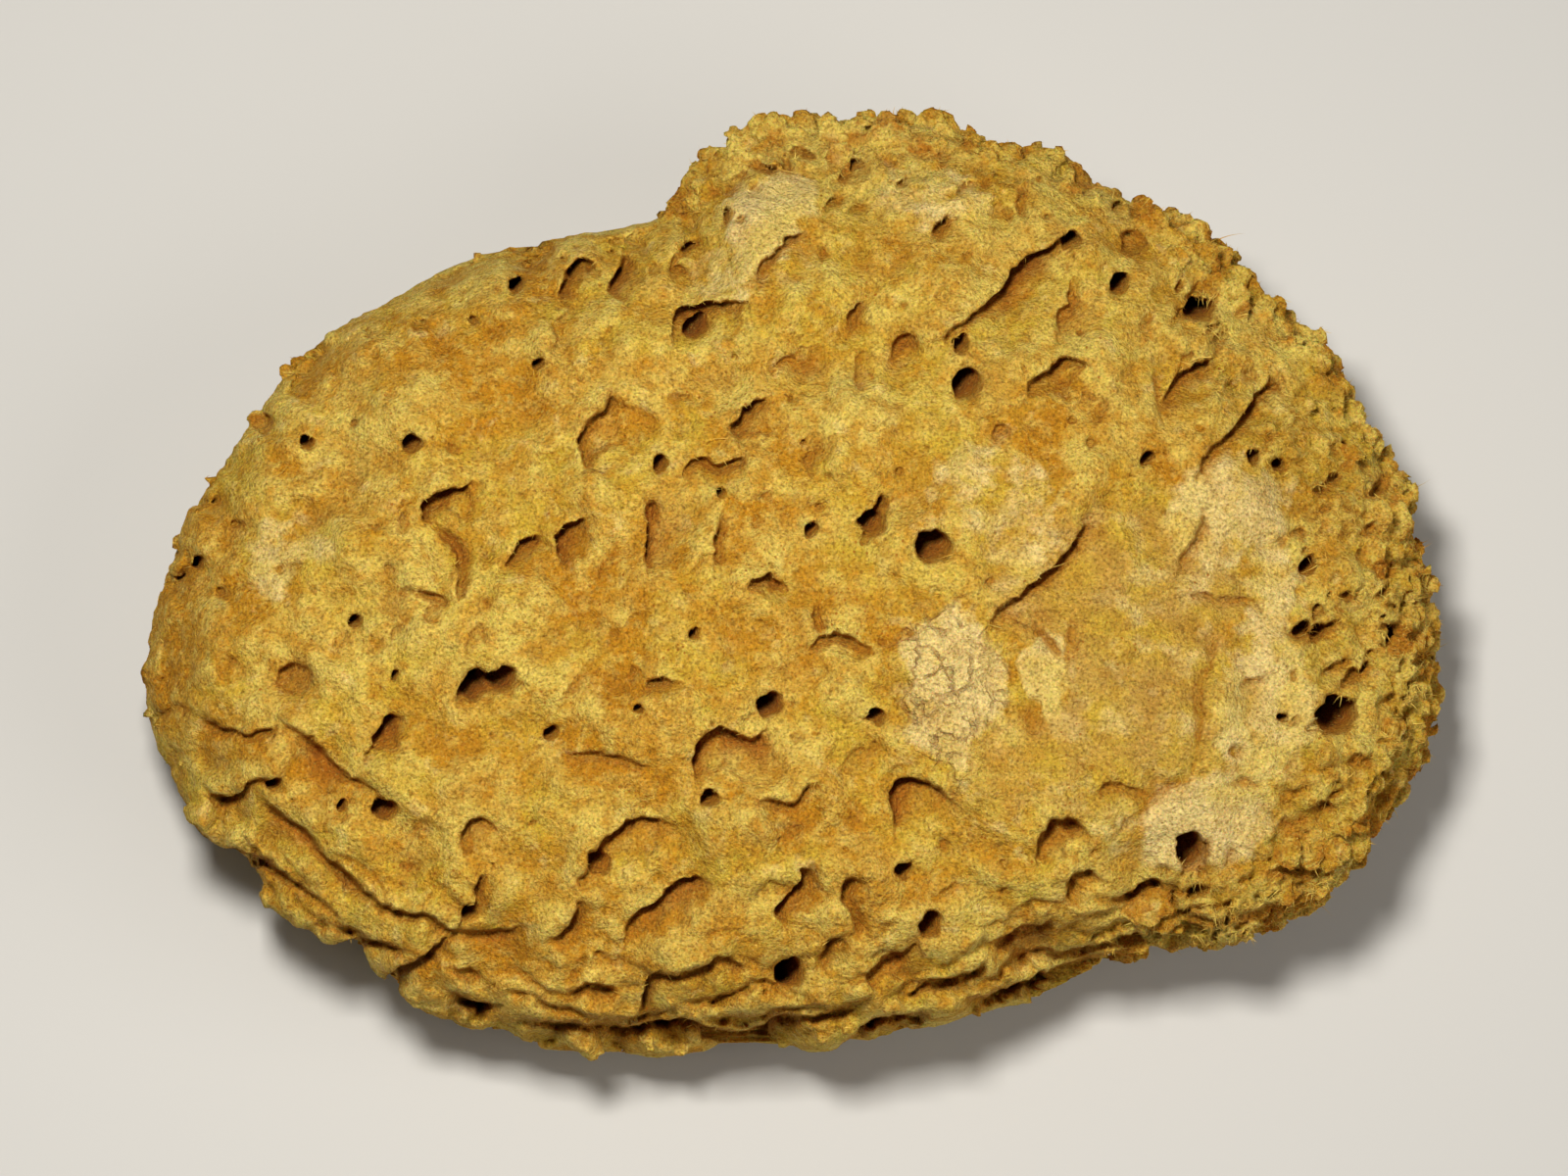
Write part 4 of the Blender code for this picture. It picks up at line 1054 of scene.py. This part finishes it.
# The next two colours are painted shade: reddish brown on low places and the walls of drops, amber
# in hollows and pores.
PAINTED_SHADE_BROWN = (0.38, 0.150, 0.010, 1)
AMBER = (0.34, 0.105, 0.008, 1)
CRACK = (0.26, 0.115, 0.03, 1)
UMBER = (0.38, 0.19, 0.022, 1)
CRUST = (0.73, 0.560, 0.212, 1)
TAN = (0.50, 0.305, 0.062, 1)
FRILL = (0.43, 0.258, 0.022, 1)
# Dark specks, and the dark brown painted shade deepest in the pits.
SPECK_AND_DEEP_SHADE = (0.20, 0.070, 0.008, 1)
SHADE = (0.58, 0.55, 0.50, 1)
SHINE = (1.26, 1.27, 1.32, 1)

COLOUR_MAPS = ("Hollow", "Wall", "Sunk", "Orange", "Pale", "Crust", "Tan", "Frill")


def add_node(nodes, kind, **values):
    """A shader node with some of its properties set."""
    node = nodes.new(kind)
    for name, value in values.items():
        setattr(node, name, value)
    return node


def mix_colour(nodes, links, factor, first, second, blend="MIX"):
    """A colour mix, whose inputs are sockets or plain values."""
    node = add_node(nodes, "ShaderNodeMix", data_type="RGBA", blend_type=blend)
    for place, value in ((0, factor), (6, first), (7, second)):
        if isinstance(value, (tuple, float, int)):
            node.inputs[place].default_value = value
        else:
            links.new(value, node.inputs[place])
    return node.outputs[2]


def spread(nodes, links, value, low, high, to_low=0.0, to_high=1.0):
    """A value mapped from one range to another, and held there."""
    node = add_node(nodes, "ShaderNodeMapRange", clamp=True)
    settings = {"From Min": low, "From Max": high, "To Min": to_low, "To Max": to_high}
    for name, setting in settings.items():
        node.inputs[name].default_value = setting
    links.new(value, node.inputs["Value"])
    return node.outputs["Result"]


def joined(nodes, links, operation, *values):
    """A sum, product or the like of sockets and plain numbers."""
    node = add_node(nodes, "ShaderNodeMath", operation=operation)
    for socket, value in zip(node.inputs, values):
        if isinstance(value, float):
            socket.default_value = value
        else:
            links.new(value, socket)
    return node.outputs[0]


def stored(nodes, name):
    """The value that is stored on the skin under a name."""
    return add_node(nodes, "ShaderNodeAttribute", attribute_name=name).outputs["Fac"]


def noise_value(nodes, links, vector, per_metre, detail=2.0, rough=0.5):
    """Noise with so many lumps to the metre."""
    node = add_node(nodes, "ShaderNodeTexNoise", noise_dimensions="3D")
    node.inputs["Scale"].default_value = per_metre
    node.inputs["Detail"].default_value = detail
    node.inputs["Roughness"].default_value = rough
    links.new(vector, node.inputs["Vector"])
    return node.outputs["Fac"]


def colour_group():
    """Dried sponge's colour by where it lies, used by the skin and its fibres, with painted shade
    in hollows, low places and drop walls and painted light on raised places.
    """
    group = bpy.data.node_groups.new("dried_sponge_colour", "ShaderNodeTree")
    group.interface.new_socket(name="Place", in_out="INPUT", socket_type="NodeSocketVector")
    for name in COLOUR_MAPS:
        group.interface.new_socket(name=name, in_out="INPUT", socket_type="NodeSocketFloat")
    group.interface.new_socket(name="Colour", in_out="OUTPUT", socket_type="NodeSocketColor")
    nodes, links = group.nodes, group.links
    given = nodes.new("NodeGroupInput").outputs
    place = given["Place"]

    def held(value, low, high, to_low=0.0, to_high=1.0):
        return spread(nodes, links, value, low, high, to_low, to_high)

    def noise_band(per_metre, detail, low, high, to_low=0.0, to_high=1.0):
        found = noise_value(nodes, links, place, per_metre, detail)
        return held(found, low, high, to_low, to_high)

    def given_band(name, low, high, to_low=0.0, to_high=1.0):
        return held(given[name], low, high, to_low, to_high)

    def added(first, second):
        return joined(nodes, links, "ADD", first, second)

    def mix(factor, first, second, blend="MIX"):
        return mix_colour(nodes, links, factor, first, second, blend)

    mellow = added(given_band("Pale", 0.0, 1.0, 0.0, 0.85),
                   noise_band(75, 4.0, 0.42, 0.64, -0.5, 0.65))
    warm = added(given_band("Orange", 0.0, 1.0, 0.0, 0.9),
                 noise_band(60, 4.0, 0.40, 0.60, -0.55, 0.65))
    colour = mix(held(warm, 0.0, 0.8), GOLD, ORANGE)
    colour = mix(given_band("Frill", 0.0, 1.0, 0.0, 0.6), colour, FRILL)
    # Painted light: places higher than their surroundings are painted paler straw, mixed with
    # random tone.
    raised = added(given_band("Sunk", -0.9, 0.5, 0.85, 0.0),
                   noise_band(150, 4.0, 0.36, 0.70, -0.45, 0.55))
    colour = mix(held(raised, 0.1, 1.0, 0.0, 0.85), colour, STRAW)
    colour = mix(held(mellow, 0.0, 1.0, 0.0, 0.9), colour, STRAW)
    colour = mix(noise_band(140, 3.0, 0.48, 0.62, 0.0, 0.6), colour, ORANGE)
    colour = mix(noise_band(330, 3.0, 0.48, 0.66, 0.0, 0.7), colour, ORANGE)
    colour = mix(noise_band(480, 3.0, 0.50, 0.68, 0.0, 0.5), colour, STRAW)
    felted = mix(noise_band(110, 4.0, 0.40, 0.60, 0.0, 0.95), TAN, GOLD)
    felted = mix(noise_band(180, 4.0, 0.50, 0.66, 0.0, 0.75), felted, CRUST)
    felted = mix(noise_band(240, 3.0, 0.50, 0.64, 0.0, 0.55), felted, UMBER)
    colour = mix(given_band("Tan", 0.1, 0.7, 0.0, 0.9), colour, felted)
    edge = added(given["Crust"], noise_band(300, 5.0, 0.3, 0.7, -0.35, 0.35))
    pale = mix(noise_band(190, 3.0, 0.45, 0.70, 0.0, 0.55), CRUST, TAN)
    pale = mix(noise_band(95, 4.0, 0.44, 0.64, 0.0, 0.7), pale, STRAW)
    colour = mix(held(edge, 0.18, 0.62), colour, pale)
    # Painted shade: places lower than their surroundings are painted reddish brown, mixed with
    # random tone.
    low = added(given_band("Sunk", 0.1, 1.7, 0.0, 0.7),
                noise_band(230, 3.0, 0.50, 0.75, 0.0, 0.25))
    colour = mix(low, colour, PAINTED_SHADE_BROWN)
    # Painted shade on the steep walls of the drops.
    colour = mix(given_band("Wall", 0.0, 1.0, 0.0, 0.8), colour, PAINTED_SHADE_BROWN)
    # Painted shade in the hollows: amber deeper inside the body, dark brown deepest in the pits.
    colour = mix(given_band("Hollow", 0.38, 0.75, 0.0, 0.9), colour, AMBER)
    colour = mix(given_band("Hollow", 0.68, 1.0, 0.0, 0.8), colour, SPECK_AND_DEEP_SHADE)
    colour = mix(noise_band(1500, 2.0, 0.60, 0.70, 0.0, 0.45), colour, SPECK_AND_DEEP_SHADE)
    colour = mix(noise_band(1900, 2.0, 0.39, 0.30, 0.0, 0.30), colour, STRAW)
    colour = mix(noise_band(2100, 3.0, 0.52, 0.34, 0.0, 1.0), colour, SHADE, "MULTIPLY")
    colour = mix(noise_band(1700, 3.0, 0.48, 0.64, 0.0, 1.0), colour, SHINE, "MULTIPLY")
    links.new(colour, nodes.new("NodeGroupOutput").inputs["Colour"])
    return group


def new_material(name):
    """A material with a plain Principled BSDF."""
    material = bpy.data.materials.new(name)
    material.use_nodes = True
    return material, material.node_tree.nodes, material.node_tree.links


def sponge_colour(nodes, links, colours):
    """The shared colour, fed from the piece's stored maps."""
    use = nodes.new("ShaderNodeGroup")
    use.node_tree = colours
    place = nodes.new("ShaderNodeTexCoord").outputs["Object"]
    links.new(place, use.inputs["Place"])
    for name in COLOUR_MAPS:
        links.new(stored(nodes, name.lower()), use.inputs[name])
    return use.outputs["Colour"], place


def flake_cracks(nodes, links, place):
    """1 along the cracks between the crust's flakes, 0 elsewhere."""
    bend = add_node(nodes, "ShaderNodeTexNoise", noise_dimensions="3D")
    bend.inputs["Scale"].default_value = 420
    bend.inputs["Detail"].default_value = 4.0
    links.new(place, bend.inputs["Vector"])
    bent = add_node(nodes, "ShaderNodeVectorMath", operation="MULTIPLY_ADD")
    links.new(bend.outputs["Color"], bent.inputs[0])
    bent.inputs[1].default_value = (0.0035, 0.0035, 0.0035)
    links.new(place, bent.inputs[2])
    cells = add_node(nodes, "ShaderNodeTexVoronoi", feature="DISTANCE_TO_EDGE")
    cells.inputs["Scale"].default_value = 230
    links.new(bent.outputs[0], cells.inputs["Vector"])
    line = spread(nodes, links, cells.outputs["Distance"], 0.02, 0.07, 1.0, 0.0)
    lumps = noise_value(nodes, links, place, 260, 3.0)
    breaks = spread(nodes, links, lumps, 0.42, 0.56, 0.15, 1.0)
    share = spread(nodes, links, stored(nodes, "flakes"), 0.15, 0.5)
    return joined(nodes, links, "MULTIPLY", line, joined(nodes, links, "MULTIPLY", share, breaks))


def skin_material(colours):
    """Dry felt: matt, grained, with fine pores painted dark as painted shade in the tiny holes."""
    material, nodes, links = new_material("sponge_skin")
    shader = nodes["Principled BSDF"]
    shader.inputs["Roughness"].default_value = 0.95
    shader.inputs["Specular IOR Level"].default_value = 0.15
    shader.inputs["Subsurface Weight"].default_value = 0.38
    shader.inputs["Subsurface Radius"].default_value = (1.0, 0.30, 0.06)
    shader.inputs["Subsurface Scale"].default_value = 0.0018
    colour, place = sponge_colour(nodes, links, colours)
    # Pores: small spots painted amber as painted shade in tiny holes, and dented by the bump.
    pores = add_node(nodes, "ShaderNodeTexVoronoi", feature="F1")
    pores.inputs["Scale"].default_value = 760
    links.new(place, pores.inputs["Vector"])
    patches = noise_value(nodes, links, place, 90, 2.0)
    widest = spread(nodes, links, patches, 0.46, 0.64, 0.0, 0.17)
    dark = joined(nodes, links, "LESS_THAN", pores.outputs["Distance"], widest)
    open_skin = spread(nodes, links, stored(nodes, "crust"), 0.1, 0.5, 0.75, 0.1)
    pored = joined(nodes, links, "MULTIPLY", dark, open_skin)
    colour = mix_colour(nodes, links, pored, colour, AMBER)
    crack = flake_cracks(nodes, links, place)
    stain = spread(nodes, links, crack, 0.0, 1.0, 0.0, 0.5)
    colour = mix_colour(nodes, links, stain, colour, CRACK)
    links.new(colour, shader.inputs["Base Color"])
    grain = noise_value(nodes, links, place, 2000, 3.0, 0.7)
    lumps = noise_value(nodes, links, place, 520, 3.0, 0.6)
    raised = joined(nodes, links, "MULTIPLY_ADD", lumps, 1.6, grain)
    gaps = joined(nodes, links, "ADD", pored, crack)
    bump = nodes.new("ShaderNodeBump")
    bump.inputs["Strength"].default_value = 1.0
    bump.inputs["Distance"].default_value = 0.7 * MM
    links.new(joined(nodes, links, "SUBTRACT", raised, gaps), bump.inputs["Height"])
    links.new(bump.outputs["Normal"], shader.inputs["Normal"])
    return material


def fibre_material(colours):
    """The skin's colour on its loose fibres, made paler or darker by each fibre's tone."""
    material, nodes, links = new_material("sponge_fibres")
    shader = nodes["Principled BSDF"]
    shader.inputs["Roughness"].default_value = 0.8
    shader.inputs["Specular IOR Level"].default_value = 0.2
    colour, _ = sponge_colour(nodes, links, colours)
    tone = stored(nodes, "tone")
    paler = spread(nodes, links, tone, 0.0, 1.0, 0.0, 0.45)
    colour = mix_colour(nodes, links, paler, colour, STRAW)
    darker = spread(nodes, links, tone, -0.2, -1.0, 0.0, 0.9)
    colour = mix_colour(nodes, links, darker, colour, SHADE, "MULTIPLY")
    links.new(colour, shader.inputs["Base Color"])
    return material


def plain_material(name, colour, roughness):
    """One even colour."""
    material, nodes, _ = new_material(name)
    nodes["Principled BSDF"].inputs["Base Color"].default_value = colour
    nodes["Principled BSDF"].inputs["Roughness"].default_value = roughness
    return material


# Fibres: piece, the stored share that it grows by, and its sizes in metres.

FIBRE_SIZES = ("Fibres per Square Metre", "Shortest", "Longest", "Thickness", "Lean", "Bend",
               "Joints", "Seed")
FIBRE_PIECES = (
    ("felt_fibres", "felt", (2.3e6, 0.0005, 0.0014, 0.00011, 1.2, 0.0, 1, 3)),
    ("front_felt_fibres", "front_felt", (2.3e6, 0.0005, 0.0014, 0.00011, 1.2, 0.0, 1, 3)),
    ("side_fibres", "sides", (1.0e6, 0.0005, 0.0014, 0.00011, 1.2, 0.0, 1, 5)),
    ("rim_fibres", "tufts", (1.72e6, 0.0008, 0.0026, 0.00012, 0.9, 5.0, 2, 8)),
    ("stray_hairs", "hairs", (6.0e3, 0.003, 0.007, 0.00012, 1.4, 16.0, 6, 12)),
)


def fibre_tree():
    """Fibres on a skin, scattered by a stored share, leaning at random and bent to a tip."""
    tree = bpy.data.node_groups.new("skin_fibres", "GeometryNodeTree")
    tree.interface.new_socket(name="Skin", in_out="INPUT", socket_type="NodeSocketGeometry")
    for name in ("Share",) + FIBRE_SIZES:
        kind = "NodeSocketInt" if name in ("Joints", "Seed") else "NodeSocketFloat"
        tree.interface.new_socket(name=name, in_out="INPUT", socket_type=kind)
    tree.interface.new_socket(name="Material", in_out="INPUT", socket_type="NodeSocketMaterial")
    tree.interface.new_socket(name="Fibres", in_out="OUTPUT", socket_type="NodeSocketGeometry")
    nodes, links = tree.nodes, tree.links
    given = nodes.new("NodeGroupInput").outputs

    def node(kind, inputs=(), **values):
        made = add_node(nodes, kind, **values)
        for socket, value in dict(inputs).items():
            if isinstance(value, bpy.types.NodeSocket):
                links.new(value, made.inputs[socket])
            else:
                made.inputs[socket].default_value = value
        return made

    def maths(operation, first, second):
        return node("ShaderNodeMath", {0: first, 1: second}, operation=operation).outputs[0]

    def chosen(least, most):
        sockets = {2: least, 3: most, "Seed": given["Seed"]}
        return node("FunctionNodeRandomValue", sockets, data_type="FLOAT").outputs[1]

    density = maths("MULTIPLY", given["Share"], given["Fibres per Square Metre"])
    points = node("GeometryNodeDistributePointsOnFaces",
                  {"Mesh": given["Skin"], "Density": density, "Seed": given["Seed"]})
    cone = node("GeometryNodeMeshCone", {
        "Vertices": 3, "Side Segments": given["Joints"],
        "Radius Top": 0.0, "Radius Bottom": 1.0, "Depth": 1.0,
    }, fill_type="NONE")
    place = node("GeometryNodeInputPosition").outputs[0]
    height = node("ShaderNodeSeparateXYZ", {0: place}).outputs["Z"]
    bow = maths("MULTIPLY", maths("POWER", height, 2.0), given["Bend"])
    offset = node("ShaderNodeCombineXYZ", {"X": bow}).outputs[0]
    strand = node("GeometryNodeSetPosition", {"Geometry": cone.outputs["Mesh"], "Offset": offset})
    back = maths("MULTIPLY", given["Lean"], -1.0)
    low = node("ShaderNodeCombineXYZ", {"X": back, "Y": back, "Z": 0.0})
    high = node("ShaderNodeCombineXYZ", {"X": given["Lean"], "Y": given["Lean"], "Z": math.tau})
    lean = node("FunctionNodeRandomValue",
                {"Min": low.outputs[0], "Max": high.outputs[0], "Seed": given["Seed"]},
                data_type="FLOAT_VECTOR")
    tilt = node("FunctionNodeEulerToRotation", {0: lean.outputs["Value"]})
    turned = node("FunctionNodeRotateRotation",
                  {"Rotation": points.outputs["Rotation"], "Rotate By": tilt.outputs[0]},
                  rotation_space="LOCAL")
    length = chosen(given["Shortest"], given["Longest"])
    size = node("ShaderNodeCombineXYZ",
                {"X": given["Thickness"], "Y": given["Thickness"], "Z": length})
    stood = node("GeometryNodeInstanceOnPoints",
                 {"Points": points.outputs["Points"], "Instance": strand.outputs[0],
                  "Rotation": turned.outputs[0], "Scale": size.outputs[0]})
    toned = node("GeometryNodeStoreNamedAttribute",
                 {"Geometry": stood.outputs[0], "Name": "tone", "Value": chosen(-1.0, 1.0)},
                 data_type="FLOAT", domain="INSTANCE")
    real = node("GeometryNodeRealizeInstances", {"Geometry": toned.outputs[0]})
    dressed = node("GeometryNodeSetMaterial",
                   {"Geometry": real.outputs[0], "Material": given["Material"]})
    links.new(dressed.outputs[0], nodes.new("NodeGroupOutput").inputs["Fibres"])
    return tree


def grow_fibres(skin, tree, material, name, share, sizes):
    """A piece of plain mesh from the tree over the skin, by the tree's named inputs."""
    made = bpy.data.objects.new(name, skin.data.copy())
    bpy.context.scene.collection.objects.link(made)
    grown = made.modifiers.new("Fibres", "NODES")
    grown.node_group = tree
    sockets = {socket.name: socket.identifier for socket in tree.interface.items_tree}
    grown[sockets["Share"] + "_use_attribute"] = True
    grown[sockets["Share"] + "_attribute_name"] = share
    grown[sockets["Material"]] = material
    for title, value in zip(FIBRE_SIZES, sizes):
        grown[sockets[title]] = value
    return baked(made)


# Studio: a light's way from the sponge, its distance, size, watts and colour.

LIGHTS = {
    "key": ((-0.11, 0.0, 0.95), 0.62, 0.10, 4.2, (1.0, 0.96, 0.89)),
    "fill": ((1.0, -0.45, 0.8), 1.4, 1.0, 6.8, (1.0, 0.96, 0.90)),
}
FLOOR_REACH = 6.0
FLOOR_COLOUR = (0.55, 0.545, 0.53, 1)


def make_floor():
    """A wide pale floor under the sponge."""
    corners = np.array(((-1, -1, 0), (1, -1, 0), (1, 1, 0), (-1, 1, 0)))
    floor = new_mesh_object("floor", FLOOR_REACH * corners, np.array(((0, 1, 2, 3),)))
    floor.data.materials.append(plain_material("pale_floor", FLOOR_COLOUR, 0.8))
    return floor


def add_light(name, direction, distance, size, power, colour):
    """A square soft light that looks at the sponge from a direction."""
    data = bpy.data.lights.new(name, "AREA")
    data.size = size
    data.energy = power
    data.color = colour
    light = bpy.data.objects.new(name, data)
    way = Vector(direction).normalized()
    light.location = way * distance
    light.rotation_euler = way.to_track_quat("Z", "Y").to_euler()
    bpy.context.scene.collection.objects.link(light)


def set_studio(middle):
    """Lights, world and the camera at the eye."""
    for name, setting in LIGHTS.items():
        add_light(name, *setting)
    world = bpy.data.worlds.new("studio")
    world.use_nodes = True
    sky = world.node_tree.nodes["Background"]
    sky.inputs["Color"].default_value = (1.0, 0.98, 0.95, 1)
    sky.inputs["Strength"].default_value = 0.09
    bpy.context.scene.world = world
    bpy.context.scene.view_settings.view_transform = "Standard"
    data = bpy.data.cameras.new("eye")
    data.sensor_width = 36.0
    data.lens = 135.0
    data.clip_end = 20.0
    camera = bpy.data.objects.new("eye", data)
    target = SIGHT_CENTRE + ACROSS * -1.5 + UPWARD * -0.45 - middle
    camera.location = Vector((target + TOWARD_EYE * EYE_DISTANCE) * MM)
    camera.rotation_euler = Vector(TOWARD_EYE).to_track_quat("Z", "Y").to_euler()
    bpy.context.scene.collection.objects.link(camera)
    bpy.context.scene.camera = camera


def main():
    skin, middle = make_skin()
    colours = colour_group()
    skin.data.materials.clear()
    skin.data.materials.append(skin_material(colours))
    tree = fibre_tree()
    strands = fibre_material(colours)
    pieces = [skin] + [grow_fibres(skin, tree, strands, *row) for row in FIBRE_PIECES]
    for piece in pieces:
        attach(piece, "root")
    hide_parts("sponge")
    make_floor()
    set_studio(middle)


main()
